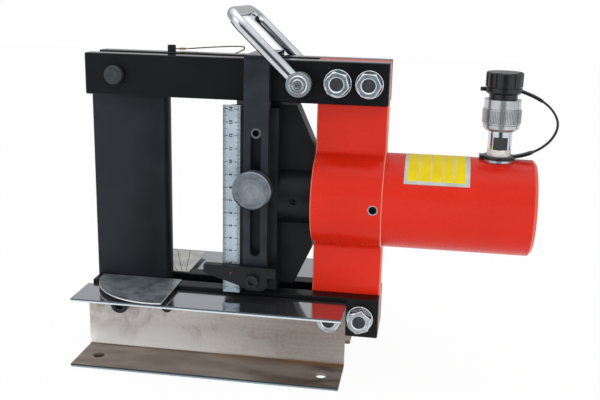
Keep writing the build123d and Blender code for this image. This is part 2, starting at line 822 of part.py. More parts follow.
# Pointer arms on the legs' feet: a tapered finger to the left, a round boss and a lug to the right
arm_bottom = arm_top - arm_height
with BuildPart() as arm_front_part:
    with BuildSketch(Plane.XZ.offset(leg_front)) as arm_profile:
        with BuildLine():
            Polyline(
                (leg_mid - arm_left_reach, arm_top), (leg_mid - arm_left_reach, arm_top - arm_tip_height),
                (leg_mid - arm_heel, arm_bottom + arm_heel_rise), (leg_mid - arm_boss_left, arm_bottom),
                (leg_mid + arm_right_reach, arm_bottom),
                (leg_mid + arm_right_reach, arm_top - arm_lug_height),
                (leg_mid + arm_lug_reach, arm_top - arm_lug_height), (leg_mid + arm_lug_reach, arm_top),
                close=True,
            )
        make_face()
        fillet(arm_profile.vertices().group_by(Axis.Y)[0], arm_round)
    extrude(amount=arm_thick)
    with BuildSketch(Plane.XZ.offset(leg_front)):
        with Locations((leg_mid, arm_screw_z)):
            Circle(arm_screw_r + bolt_gap)
    extrude(amount=arm_thick, mode=Mode.SUBTRACT)
arm_front_part.part.label = "arm_front"
export_step(arm_front_part.part, "parts/arm_front.step")

with BuildPart() as arm_rear_part:
    mirror(arm_front_part.part, about=Plane.XZ)
arm_rear_part.part.label = "arm_rear"
export_step(arm_rear_part.part, "parts/arm_rear.step")

# Socket-head screws that hold the arms
with BuildPart() as arm_screw_front:
    with BuildSketch(Plane.XZ.offset(arm_front)):
        with Locations((leg_mid, arm_screw_z)):
            Circle(arm_screw_head_r)
    extrude(amount=arm_screw_head)
    chamfer(arm_screw_front.faces().sort_by(Axis.Y)[0].edges(), arm_screw_chamfer)
    with BuildSketch(Plane.XZ.offset(arm_front + arm_screw_head)):
        with Locations((leg_mid, arm_screw_z)):
            RegularPolygon(0.95 * arm_screw_r, 6)
    extrude(amount=-arm_screw_head / 2, mode=Mode.SUBTRACT)
    with BuildSketch(Plane.XZ.offset(arm_front)):
        with Locations((leg_mid, arm_screw_z)):
            Circle(arm_screw_r)
    extrude(amount=-(arm_front - leg_back))
arm_screw_front.part.label = "arm_screw_front"
export_step(arm_screw_front.part, "parts/arm_screw_front.step")

with BuildPart() as arm_screw_rear:
    mirror(arm_screw_front.part, about=Plane.XZ)
arm_screw_rear.part.label = "arm_screw_rear"
export_step(arm_screw_rear.part, "parts/arm_screw_rear.step")

# Clamp knob: round head, neck and a stud through the slot into the die
with BuildPart() as clamp_knob:
    with BuildSketch(Plane.XZ.offset(leg_front + slide_gap + knob_neck)):
        with Locations((leg_mid, knob_z)):
            Circle(knob_r)
    extrude(amount=knob_thick)
    chamfer(clamp_knob.edges(), knob_edge)
    with BuildSketch(Plane.XZ.offset(leg_front + slide_gap)):
        with Locations((leg_mid, knob_z)):
            Circle(knob_neck_r)
    extrude(amount=knob_neck)
    with BuildSketch(Plane.XZ.offset(leg_front + slide_gap)):
        with Locations((leg_mid, knob_z)):
            Circle(knob_stud_r)
    extrude(amount=-(leg_front + slide_gap - die_half + guide_depth))
clamp_knob.part.label = "clamp_knob"
export_step(clamp_knob.part, "parts/clamp_knob.step")

# Carrying handle: round bar bent to a U, with an eye on each end
handle_plane = Plane(
    origin=(handle_x, 0, top_mid), x_dir=(0, 1, 0),
    z_dir=(math.cos(math.radians(handle_lean)), 0, math.sin(math.radians(handle_lean))),
)
with BuildPart() as handle:
    with BuildLine(handle_plane) as handle_path:
        FilletPolyline(
            (-rod_y, 0), (-rod_y, handle_leg), (rod_y, handle_leg), (rod_y, 0), radius=handle_bend_r
        )
    with BuildSketch(Plane(origin=handle_path.line @ 0, z_dir=handle_path.line % 0)):
        Circle(handle_r)
    sweep(path=handle_path.line)
    with BuildSketch(Plane.XZ):
        with Locations((handle_x, top_mid)):
            Circle(eye_r)
    extrude(amount=eye_outer, both=True)
    with BuildSketch(Plane.XZ):
        with Locations((handle_x, top_mid)):
            Circle(eye_r)
    extrude(amount=eye_inner, both=True, mode=Mode.SUBTRACT)
    for side in (-1, 1):
        with BuildSketch(Plane.XZ.offset(side * eye_outer)):
            with Locations((handle_x, top_mid)):
                Circle(eye_r)
        extrude(amount=side * handle_r, mode=Mode.SUBTRACT)
    with BuildSketch(Plane.XZ):
        with Locations((handle_x, top_mid)):
            Circle(handle_screw_r + run_gap)
    extrude(amount=eye_outer, both=True, mode=Mode.SUBTRACT)
handle.part.label = "handle"
export_step(handle.part, "parts/handle.step")

# Handle spacers and flanged socket screws, front and rear
with BuildPart() as handle_spacer_front:
    with BuildSketch(Plane.XZ.offset(frame_half)):
        with Locations((handle_x, top_mid)):
            Circle(spacer_r)
            Circle(handle_screw_r + bolt_gap, mode=Mode.SUBTRACT)
    extrude(amount=eye_inner - frame_half - seat_gap)
handle_spacer_front.part.label = "handle_spacer_front"
export_step(handle_spacer_front.part, "parts/handle_spacer_front.step")

with BuildPart() as handle_spacer_rear:
    mirror(handle_spacer_front.part, about=Plane.XZ)
handle_spacer_rear.part.label = "handle_spacer_rear"
export_step(handle_spacer_rear.part, "parts/handle_spacer_rear.step")

with BuildPart() as handle_screw_front:
    with BuildSketch(Plane.XZ.offset(eye_outer + seat_gap)):
        with Locations((handle_x, top_mid)):
            Circle(handle_screw_flange_r)
    extrude(amount=handle_screw_flange)
    chamfer(handle_screw_front.faces().sort_by(Axis.Y)[0].edges(), 0.5 * handle_screw_flange)
    with BuildSketch(Plane.XZ.offset(eye_outer + seat_gap + handle_screw_flange)):
        with Locations((handle_x, top_mid)):
            Circle(handle_screw_head_r)
    extrude(amount=handle_screw_head)
    fillet(handle_screw_front.faces().sort_by(Axis.Y)[0].edges(), handle_screw_round)
    with BuildSketch(Plane.XZ.offset(eye_outer + seat_gap + handle_screw_flange + handle_screw_head)):
        with Locations((handle_x, top_mid)):
            RegularPolygon(handle_socket_r, 6)
    extrude(amount=-handle_screw_head / 2, mode=Mode.SUBTRACT)
    with BuildSketch(Plane.XZ.offset(eye_outer + seat_gap)):
        with Locations((handle_x, top_mid)):
            Circle(handle_screw_r)
    extrude(amount=-(eye_outer + seat_gap - frame_half + handle_screw_grip))
handle_screw_front.part.label = "handle_screw_front"
export_step(handle_screw_front.part, "parts/handle_screw_front.step")

with BuildPart() as handle_screw_rear:
    mirror(handle_screw_front.part, about=Plane.XZ)
handle_screw_rear.part.label = "handle_screw_rear"
export_step(handle_screw_rear.part, "parts/handle_screw_rear.step")

# Coupler nipple: thread in the barrel's port, sealing shoulder, body and sleeve with the oil bore
with BuildPart() as coupler_nipple:
    with BuildSketch(Plane.XZ):
        with BuildLine():
            Polyline(
                (coupler_x, port_bottom), (coupler_x + port_r - run_gap, port_bottom),
                (coupler_x + port_r - run_gap, spot_z), (coupler_x + neck_r, spot_z),
                (coupler_x + neck_r, nipple_z), (coupler_x + nipple_r, nipple_z),
                (coupler_x + nipple_r, collar_z), (coupler_x + sleeve_r, collar_z),
                (coupler_x + sleeve_r, sleeve_top), (coupler_x + oil_bore_r, sleeve_top),
                (coupler_x + oil_bore_r, sleeve_top - oil_bore_depth),
                (coupler_x, sleeve_top - oil_bore_depth), close=True,
            )
        make_face()
    revolve(axis=coupler_line)
    with BuildSketch(Plane.XZ.offset(flat_half)):
        with Locations((coupler_x, nipple_z + flat_rise + flat_height / 2)):
            Rectangle(3 * nipple_r, flat_height)
    extrude(amount=nipple_r, mode=Mode.SUBTRACT)
    with BuildSketch(Plane.XZ.offset(-flat_half)):
        with Locations((coupler_x, nipple_z + flat_rise + flat_height / 2)):
            Rectangle(3 * nipple_r, flat_height)
    extrude(amount=-nipple_r, mode=Mode.SUBTRACT)
coupler_nipple.part.label = "coupler_nipple"
export_step(coupler_nipple.part, "parts/coupler_nipple.step")

# Sealing washer under the strap ring
with BuildPart() as seal_washer:
    with BuildSketch(Plane.XY.offset(spot_z)):
        with Locations((coupler_x, 0)):
            Circle(seal_r)
            Circle(neck_r + run_gap, mode=Mode.SUBTRACT)
    extrude(amount=seal_thick)
seal_washer.part.label = "seal_washer"
export_step(seal_washer.part, "parts/seal_washer.step")

# Coupler collar: turning sleeve with a raised grip band between two grooves and a chamfered foot
collar_bore_r = sleeve_r + run_gap
band_r = collar_r - collar_step
groove_r = band_r - collar_groove
grip_z = collar_z + collar_low_band
grip_top = collar_top - collar_top_band
with BuildPart() as coupler_collar:
    with BuildSketch(Plane.XZ):
        with BuildLine():
            Polyline(
                (coupler_x + collar_bore_r, collar_z), (coupler_x + band_r - collar_chamfer, collar_z),
                (coupler_x + band_r, collar_z + collar_chamfer),
                (coupler_x + band_r, grip_z - collar_groove),
                (coupler_x + groove_r, grip_z - collar_groove), (coupler_x + groove_r, grip_z),
                (coupler_x + collar_r, grip_z), (coupler_x + collar_r, grip_top),
                (coupler_x + groove_r, grip_top), (coupler_x + groove_r, grip_top + collar_groove),
                (coupler_x + band_r, grip_top + collar_groove), (coupler_x + band_r, collar_top),
                (coupler_x + collar_bore_r, collar_top), close=True,
            )
        make_face()
    revolve(axis=coupler_line)
coupler_collar.part.label = "coupler_collar"
export_step(coupler_collar.part, "parts/coupler_collar.step")

# Dust cap: skirt on the sleeve's end, flange with a thumb tab, neck, fluted head and a plug in the
# oil bore
neck_z = flange_z + cap_flange
head_z = neck_z + cap_neck
cap_top = head_z + cap_height
plug_z = sleeve_top - cap_plug
with BuildPart() as dust_cap:
    with BuildSketch(Plane.XZ):
        with BuildLine():
            Polyline(
                (coupler_x, plug_z), (coupler_x + oil_bore_r - run_gap, plug_z),
                (coupler_x + oil_bore_r - run_gap, sleeve_top), (coupler_x + cap_skirt_r, sleeve_top),
                (coupler_x + cap_skirt_r, flange_z),
                (coupler_x + cap_flange_r - cap_flange_chamfer, flange_z),
                (coupler_x + cap_flange_r, flange_z + cap_flange_chamfer),
                (coupler_x + cap_flange_r, neck_z), (coupler_x + cap_neck_r, neck_z),
                (coupler_x + cap_neck_r, head_z), (coupler_x + cap_r, head_z),
                (coupler_x + cap_r, cap_top - cap_chamfer), (coupler_x + cap_r - cap_chamfer, cap_top),
                (coupler_x, cap_top), close=True,
            )
        make_face()
    revolve(axis=coupler_line)
    with BuildSketch(Plane.XY.offset(head_z)):
        with Locations((coupler_x, 0)):
            with PolarLocations(cap_r + cap_flute_out, cap_flutes, start_angle=180 / cap_flutes):
                Circle(cap_flute_r)
    extrude(amount=cap_height, mode=Mode.SUBTRACT)
    with BuildSketch(Plane.XY.offset(flange_z + cap_flange_chamfer)):
        with Locations((coupler_x - cap_tab_reach / 2, 0)):
            SlotOverall(cap_tab_reach, cap_tab_width)
    extrude(amount=cap_flange - cap_flange_chamfer)
dust_cap.part.label = "dust_cap"
export_step(dust_cap.part, "parts/dust_cap.step")

# Cap strap: ring round the nipple's neck and a band that loops up to the cap's flange
strap_z = ring_z + strap_ring_thick / 2
strap_top_z = flange_z + cap_flange / 2
strap_mid = (strap_z + strap_top_z) / 2
strap_start = coupler_x + strap_ring_r - strap_thick
strap_end = coupler_x + cap_flange_r + slide_gap
strap_far = coupler_x + cap_r + strap_loop
with BuildPart() as cap_strap:
    with BuildSketch(Plane.XZ) as strap_band:
        with BuildLine():
            FilletPolyline(
                (strap_start, strap_z), (strap_far - strap_low_back, strap_z + strap_low_rise),
                (strap_far, strap_mid), (strap_far - strap_top_back, strap_top_z - strap_top_drop),
                (strap_end, strap_top_z), radius=strap_bend_r,
            )
        trace(line_width=strap_thick)
    extrude(amount=strap_width / 2, both=True)
    with BuildSketch(Plane.XY.offset(ring_z)):
        with Locations((coupler_x, 0)):
            Circle(strap_ring_r)
            with Locations((-strap_tab_reach / 2, 0)):
                Rectangle(strap_tab_reach, strap_tab_width)
    extrude(amount=strap_ring_thick)
    with BuildSketch(Plane.XY.offset(ring_z)):
        with Locations((coupler_x, 0)):
            Circle(neck_r + run_gap)
    extrude(amount=strap_ring_thick, mode=Mode.SUBTRACT)
cap_strap.part.label = "cap_strap"
export_step(cap_strap.part, "parts/cap_strap.step")

# Lanyard anchor screw on the rear beam
anchor_y = frame_half - beam_thick / 2
with BuildPart() as lanyard_screw:
    with BuildSketch(Plane.XY.offset(top_top)):
        with Locations((anchor_x, anchor_y)):
            Circle(anchor_r)
    extrude(amount=anchor_head)
    with BuildSketch(Plane.XY.offset(top_top)):
        with Locations((anchor_x, anchor_y)):
            Circle(anchor_shank_r)
    extrude(amount=-anchor_depth + bolt_gap)
lanyard_screw.part.label = "lanyard_screw"
export_step(lanyard_screw.part, "parts/lanyard_screw.step")

# Wire lanyard: one tube along its route
wire_bends = bend_radii(wire_route)
print("wire bends", [round(bend, 1) for bend in wire_bends])
with BuildPart() as lanyard_wire:
    with BuildLine() as wire_path:
        FilletPolyline(*wire_route, radius=wire_bends)
    with BuildSketch(Plane(origin=wire_path.line @ 0, z_dir=wire_path.line % 0)):
        Circle(wire_r)
    sweep(path=wire_path.line)
lanyard_wire.part.label = "lanyard_wire"
export_step(lanyard_wire.part, "parts/lanyard_wire.step")
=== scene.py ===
import json
from functools import partial
from math import copysign, cos, pi, radians, sin, sqrt

import bmesh
import bpy
from mathutils import Matrix, Vector


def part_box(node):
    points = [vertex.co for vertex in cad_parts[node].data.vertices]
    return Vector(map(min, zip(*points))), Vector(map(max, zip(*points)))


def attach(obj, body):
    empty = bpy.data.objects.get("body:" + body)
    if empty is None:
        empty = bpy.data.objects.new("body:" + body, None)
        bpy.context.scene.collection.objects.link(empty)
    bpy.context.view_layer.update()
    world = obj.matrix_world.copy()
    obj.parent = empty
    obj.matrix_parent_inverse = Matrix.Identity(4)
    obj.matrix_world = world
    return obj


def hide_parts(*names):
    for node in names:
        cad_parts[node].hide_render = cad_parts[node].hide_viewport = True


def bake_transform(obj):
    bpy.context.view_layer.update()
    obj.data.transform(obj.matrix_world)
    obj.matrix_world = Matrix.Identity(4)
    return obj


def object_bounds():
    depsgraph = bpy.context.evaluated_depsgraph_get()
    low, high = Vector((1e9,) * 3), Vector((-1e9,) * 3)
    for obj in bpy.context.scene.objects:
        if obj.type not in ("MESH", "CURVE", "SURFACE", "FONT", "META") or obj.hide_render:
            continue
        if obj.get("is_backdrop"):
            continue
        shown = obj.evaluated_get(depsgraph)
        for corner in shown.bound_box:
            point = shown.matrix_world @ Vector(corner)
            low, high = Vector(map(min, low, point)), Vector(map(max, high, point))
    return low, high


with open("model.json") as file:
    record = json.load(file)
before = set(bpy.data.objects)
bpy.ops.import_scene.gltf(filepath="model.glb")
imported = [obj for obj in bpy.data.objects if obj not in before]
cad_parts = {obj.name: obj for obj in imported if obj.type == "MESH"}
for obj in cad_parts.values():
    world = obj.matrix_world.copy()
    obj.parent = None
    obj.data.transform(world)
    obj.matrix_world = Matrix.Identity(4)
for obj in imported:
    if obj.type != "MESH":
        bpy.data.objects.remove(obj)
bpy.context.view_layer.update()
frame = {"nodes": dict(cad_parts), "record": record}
nodes = frame["nodes"]
bodyOf = {node: body for body, members in frame["record"]["behaviour"]["bodies"].items() for node in members}
slotOf = {row["node"]: row["material_slot"] for row in frame["record"]["subparts"]}
scene = bpy.context.scene
link = scene.collection.objects.link
newMesh, newObject = bpy.data.meshes.new, bpy.data.objects.new
scene.view_settings.view_transform = "Standard"
mm = 0.001
upright = Matrix.Rotation(radians(90), 4, "X")  # from the floor to the front
print("frame loaded:", len(nodes), "nodes")


def linear(hexColour):
    parts = [int(hexColour[i:i + 2], 16) / 255 for i in (1, 3, 5)]
    return [p / 12.92 if p <= 0.04045 else ((p + 0.055) / 1.055) ** 2.4 for p in parts] + [1.0]


def metres(sizes):
    return [size * mm for size in sizes]


def perMetre(size):
    return 1 / (size * mm)  # texture scale for a pattern of that many millimetres


def feed(tree, node, inputs):
    # inputs by socket name or in order; a row of names takes a row of values, a hex value becomes a
    # linear colour, and a node is linked by its first output in use
    for key, value in inputs.items() if isinstance(inputs, dict) else enumerate(inputs):
        if isinstance(key, tuple):
            feed(tree, node, dict(zip(key, value)))
            continue
        inUse = [socket for socket in node.inputs if socket.enabled and socket.name == key]
        socket = inUse[0] if inUse else node.inputs[key]
        if isinstance(value, bpy.types.Node):
            value = next(output for output in value.outputs if output.enabled)
        if isinstance(value, bpy.types.NodeSocket):
            tree.links.new(value, socket)
        else:
            socket.default_value = linear(value) if isinstance(value, str) else value


def addNode(tree, kind, inputs=(), coords=None, **settings):
    # a pattern reads the coordinates, where some are given and it has no other vector
    node = tree.nodes.new(kind if tree.type == "GEOMETRY" else "ShaderNode" + kind)
    for name, value in settings.items():
        setattr(node, name, value)
    feed(tree, node, inputs)
    for socket in node.inputs:
        if coords and socket.name == "Vector" and socket.enabled and not socket.is_linked:
            tree.links.new(coords, socket)
    return node


def newMaterial(name, shader):
    material = bpy.data.materials.new(name)
    material.use_nodes = True
    tree = material.node_tree
    feed(tree, tree.nodes["Principled BSDF"], shader)
    return material, partial(addNode, tree, coords=addNode(tree, "TexCoord").outputs["Object"])


def dressed(material, linked, relief, strength, depth=0.03):
    # links what drives the shader, and a bump of that depth in mm from the relief pattern
    tree = material.node_tree
    bump = addNode(tree, "Bump", {"Strength": strength, "Distance": depth * mm, "Height": relief})
    feed(tree, tree.nodes["Principled BSDF"], {**linked, "Normal": bump})
    return material


# rows of sockets that take their values together
fromSpan, toSpan = ("From Min", "From Max"), ("To Min", "To Max")
toShare, allSpan = (*fromSpan, "To Max"), (*fromSpan, *toSpan)
bothTints = ("A", "B")
falling = (1.0, 0.0)
noiseMiddle, noiseWide = (0.35, 0.7), (0.3, 0.7)  # where most of a noise's values lie


def blackedSteel(name, look):
    # mild steel plate, hot blacked: a thin satin oxide skin, blue-black, cloudy and paler where it is
    # thin, with a fine ground grain that breaks the highlights; what lies above groundZ is ground smooth
    material, add = newMaterial(name, {"IOR": 1.5, "Specular IOR Level": look["gloss"]})
    x, _, z = add("SeparateXYZ").outputs
    cloud = add("TexNoise", {"Scale": perMetre(look["cloud"]), "Detail": 5.0})
    stretch = add("Mapping", {"Scale": look["along"]})
    grain = add("TexNoise", {"Vector": stretch, "Scale": perMetre(look["grain"]), "Detail": 3.0})
    # painted light: paler to the left and towards the top
    left = add("MapRange", {"Value": x, fromSpan: metres(look["paintedLightX"]), toSpan: (look["paintedLightLeftShare"], 0.0)})
    high = add("MapRange", {"Value": z, fromSpan: metres(look["paleZ"]), "To Max": look["paintedLightHighShare"]})
    shade = add("MapRange", {"Value": cloud, toShare: look["shade"]})
    sides = add("Math", (left, high), operation="ADD")
    cloudAndPaintedLight = add("Math", (sides, shade), operation="ADD")
    colour = add("Mix", {"Factor": cloudAndPaintedLight, bothTints: look["tint"]}, data_type="RGBA")
    rough = add("MapRange", {"Value": cloud, allSpan: look["rough"]})
    ground = add("Math", (z, look["groundZ"] * mm), operation="GREATER_THAN")
    smooth = add("Mix", {"Factor": ground, "A": rough, "B": look["groundRough"]})
    return dressed(material, {"Base Color": colour, "Roughness": smooth}, grain, strength=0.3)


def redEnamel():
    # sprayed and stoved enamel over a machined body: even red, wet gloss, faint orange peel, painted light
    # that makes it lighter towards the bottom, and a pale painted highlight on the corners of the machined ends
    look = {"tint": ("#cd2511", "#c4210e"), "low": "#dd2b16", "lowZ": (60, 125), "cloud": 60, "peel": 1.6,
            "rough": (0.22, 0.3), "gloss": 0.2, "thin": "#f59a84", "corner": (0.42, 0.62, 0.75),
            "endX": (150, 250), "wider": 0.22}
    material, add = newMaterial("redEnamel", {"IOR": 1.5, "Specular IOR Level": look["gloss"]})
    x, _, z = add("SeparateXYZ").outputs
    cloud = add("TexNoise", {"Scale": perMetre(look["cloud"]), "Detail": 3.0})
    peel = add("TexNoise", {"Scale": perMetre(look["peel"]), "Detail": 1.0})
    shade = add("MapRange", {"Value": cloud, fromSpan: noiseMiddle})
    colour = add("Mix", {"Factor": shade, bothTints: look["tint"]}, data_type="RGBA")
    # painted light: a lighter red towards the bottom
    low = add("MapRange", {"Value": z, fromSpan: metres(look["lowZ"]), toSpan: falling})
    paintedLowLight = add("Mix", {"Factor": low, "A": colour, "B": look["low"]}, data_type="RGBA")
    rough = add("MapRange", {"Value": peel, toSpan: look["rough"]})
    # the mask is highest where the surface is turned by 45 degrees from the barrel's axis
    facing = add("SeparateXYZ", {"Vector": add("NewGeometry").outputs["Normal"]})
    endwise = add("Math", (facing.outputs["X"],), operation="ABSOLUTE")
    turned = add("Math", (endwise, sqrt(0.5)), operation="PINGPONG")
    # the barrel's end has a wider corner, where the painted highlight is fainter
    farEnd = add("MapRange", {"Value": x, fromSpan: metres(look["endX"]), "To Max": look["wider"]})
    ridge = add("Math", (turned, farEnd), operation="SUBTRACT")
    corner = add("MapRange", {"Value": ridge, toShare: look["corner"]})
    # painted highlight: pale red on the corners
    paintedEdgeHighlight = add("Mix", {"Factor": corner, "A": paintedLowLight, "B": look["thin"]}, data_type="RGBA")
    return dressed(material, {"Base Color": paintedEdgeHighlight, "Roughness": rough}, peel, strength=0.05)


def coldRolledSheet():
    # cold-rolled steel sheet, folded: the top flange is rubbed bright, the web is dull and blotched with a
    # painted sheen low on its left, the foot flange has turned brown and the inside fold has begun to rust; the
    # sheared edges carry a painted highlight on their lower half
    look = {
        "bright": "#bcc0c6", "dull": "#c9c5c2", "blotch": "#85796e", "brown": "#7f7165", "rust": "#8f6636",
        "paintedSheenColour": "#fbfaf8", "cutTint": ("#d3dade", "#4b565f"), "footCutTint": ("#8f9ca3", "#27343b"),
        "footDark": "#41372c", "footPale": "#a39890", "speck": "#8a7c6c",
        "blotchSize": 34, "rollSize": 2.4, "rollAlong": (0.06, 1.0, 1.0), "grainSize": 2.2,
        "patchSize": 16, "patchAlong": (0.3, 1.0, 1.0),
        # span of the noise, then the share, or the two values, that it gives
        "stain": (0.43, 0.64, 0.9), "streak": (0.4, 0.7, 0.14), "dots": (0.62, 0.74, 0.4),
        "scuff": (0.4, 0.6, 0.7), "rustSpeck": (0.4, 0.55), "tooth": (*noiseWide, -0.07, 0.07),
        "haze": (0.3, 0.75, 0.36, 0.52), "shine": (*noiseWide, 0.07, 0.14),
        "flangeZ": 52.4, "footZ": 3.4, "foldZ": (2.2, 5.2), "foldY": (26, 34), "paleZ": (5, 24),
        "webX": (-40, 60), "webShare": 0.75, "footX": (20, 100), "rustX": (-10, 25), "frontEdge": -59.85,
        "cutZ": 54.0, "footEdge": 64.2, "footCutZ": 1.25, "metal": (0.35, 0.95)}
    material, add = newMaterial("coldRolledSheet", {})
    x, y, z = add("SeparateXYZ").outputs
    away = add("Math", (y,), operation="ABSOLUTE")
    foot = add("Math", (z, look["footZ"] * mm), operation="LESS_THAN")
    sheared = add("Math", (y, look["frontEdge"] * mm), operation="LESS_THAN")
    top, upperEdgeHalf, footUpperEdgeHalf, footCut = [
        add("Math", (value, look[key] * mm), operation="GREATER_THAN")
        for key, value in (("flangeZ", z), ("cutZ", z), ("footCutZ", z), ("footEdge", away))]
    blotch = add("TexNoise", {
        "Scale": perMetre(look["blotchSize"]), "Detail": 6.0, "Roughness": 0.62, "Distortion": 0.6})
    stretch = add("Mapping", {"Scale": look["rollAlong"]})
    roll = add("TexNoise", {"Vector": stretch, "Scale": perMetre(look["rollSize"]), "Detail": 4.0})
    grain = add("TexNoise", {"Scale": perMetre(look["grainSize"]), "Detail": 3.0})
    drawn = add("Mapping", {"Scale": look["patchAlong"]})
    patch = add("TexNoise", {"Vector": drawn, "Scale": perMetre(look["patchSize"]), "Detail": 5.0})
    streak, stain, dots, scuff = [add("MapRange", {"Value": noise, toShare: look[key]}) for key, noise in (
        ("streak", roll), ("stain", blotch), ("dots", grain), ("scuff", patch))]
    tooth, haze, shine = [add("MapRange", {"Value": noise, allSpan: look[key]}) for key, noise in (
        ("tooth", grain), ("haze", blotch), ("shine", roll))]
    lowWebBand, fold, near = [add("MapRange", {"Value": value, fromSpan: metres(look[key]), toSpan: falling})
                          for key, value in (("paleZ", z), ("foldZ", z), ("foldY", away))]
    right, footLean = [add("MapRange", {"Value": x, fromSpan: metres(look[key])}) for key in ("rustX", "footX")]
    speck = add("MapRange", {"Value": patch, fromSpan: look["rustSpeck"]})
    rustMask = fold
    for part in (near, right, speck):
        rustMask = add("Math", (rustMask, part), operation="MULTIPLY")
    # the web and the foot are darker towards the ram's end
    webLean = add("MapRange", {"Value": x, fromSpan: metres(look["webX"]), "To Max": look["webShare"]})
    streakAndLean = add("Math", (streak, webLean), operation="ADD")
    webStain = add("Math", (stain, streakAndLean), operation="MAXIMUM")
    webGrain = add("Math", (webStain, tooth), operation="ADD", use_clamp=True)
    cleanSide = add("Math", (1.0, webLean), operation="SUBTRACT")
    # painted sheen: the low band of the web is near white on its left side
    paintedSheen = add("Math", (lowWebBand, cleanSide), operation="MULTIPLY")
    # fine brown specks scattered where the foot throws up dirt
    lowDots = add("Math", (dots, lowWebBand), operation="MULTIPLY")
    # sheared edges: a painted highlight on the lower half, and dark on the upper half
    footFace = add("Mix", {"Factor": footUpperEdgeHalf, bothTints: look["footCutTint"]}, data_type="RGBA")
    cutFace = add("Mix", {"Factor": upperEdgeHalf, bothTints: look["cutTint"]}, data_type="RGBA")
    flange = add("Mix", {"Factor": sheared, "A": look["bright"], "B": cutFace}, data_type="RGBA")
    # each colour lies over the ones before it
    footSide = look["brown"]
    for mask, over in ((footLean, look["footDark"]), (scuff, look["footPale"]), (footCut, footFace)):
        footSide = add("Mix", {"Factor": mask, "A": footSide, "B": over}, data_type="RGBA")
    colour = look["dull"]
    for mask, over in ((webGrain, look["blotch"]), (paintedSheen, look["paintedSheenColour"]), (lowDots, look["speck"]),
                       (foot, footSide), (rustMask, look["rust"]), (top, flange)):
        colour = add("Mix", {"Factor": mask, "A": colour, "B": over}, data_type="RGBA")
    rough = add("Mix", {"Factor": top, "A": haze, "B": shine})
    rolled = add("Math", (top, sheared), operation="SUBTRACT", use_clamp=True)
    metal = add("MapRange", {"Value": rolled, toSpan: look["metal"]})
    return dressed(material, {"Base Color": colour, "Metallic": metal, "Roughness": rough}, roll,
                   strength=0.15, depth=0.02)


everyWay, roundY, onlyZ = (1.0, 1.0, 1.0), (1.0, 0.0, 1.0), (0.0, 0.0, 1.0)
beyond = 999  # mm, past every piece


def awayFrom(zone, add):
    # distance from the zone's centre, along the axes that count
    moved = add("Mapping", {"Scale": zone["plane"], "Location": metres(-v for v in zone["centre"])})
    return add("VectorMath", (moved,), operation="LENGTH")


def brushedMetal(name, look):
    # bare or plated steel: a metal mirror broken by tool marks along one direction and by soft
    # cloudy tarnish; each finish below says what its marks are
    look = {"along": everyWay, "metal": 1.0, **look}
    material, add = newMaterial(name, {"Metallic": look["metal"]})
    stretch = add("Mapping", {"Scale": look["along"]})
    marks = add("TexNoise", {"Vector": stretch, "Scale": perMetre(look["marks"]), "Detail": 4.0})
    cloud = add("TexNoise", {"Scale": perMetre(look["cloud"]), "Detail": 5.0})
    shade = add("MapRange", {"Value": cloud, fromSpan: noiseMiddle})
    colour = add("Mix", {"Factor": shade, bothTints: look["tint"]}, data_type="RGBA")
    rough = add("MapRange", {"Value": marks, fromSpan: noiseWide, toSpan: look["rough"]})
    linked = {}
    if "cut" in look:  # another colour past a radius round a point, and past an end
        cut = {"centre": (0.0, 0.0, 0.0), "plane": roundY, "radius": beyond, "endX": beyond, **look["cut"]}
        onArc = add("Math", (awayFrom(cut, add), cut["radius"] * mm), operation="GREATER_THAN")
        x = add("SeparateXYZ").outputs["X"]
        onEnd = add("Math", (x, cut["endX"] * mm), operation="GREATER_THAN")
        onEdge = add("Math", (onArc, onEnd), operation="MAXIMUM")
        colour = add("Mix", {"Factor": onEdge, "A": colour, "B": cut["colour"]}, data_type="RGBA")
    if "patch" in look:  # a duller zone within a radius round a point
        patch = look["patch"]
        inside = add("Math", (awayFrom(patch, add), patch["radius"] * mm), operation="LESS_THAN")
        grime = add("Mix", {"Factor": shade, bothTints: patch["tint"]}, data_type="RGBA")
        colour = add("Mix", {"Factor": inside, "A": colour, "B": grime}, data_type="RGBA")
        rough = add("Mix", {"Factor": inside, "A": rough, "B": patch["rough"]})
        linked["Metallic"] = add("MapRange", {"Value": inside, toSpan: (look["metal"], patch["metal"])})
    return dressed(material, {**linked, "Base Color": colour, "Roughness": rough}, marks, look["bump"])


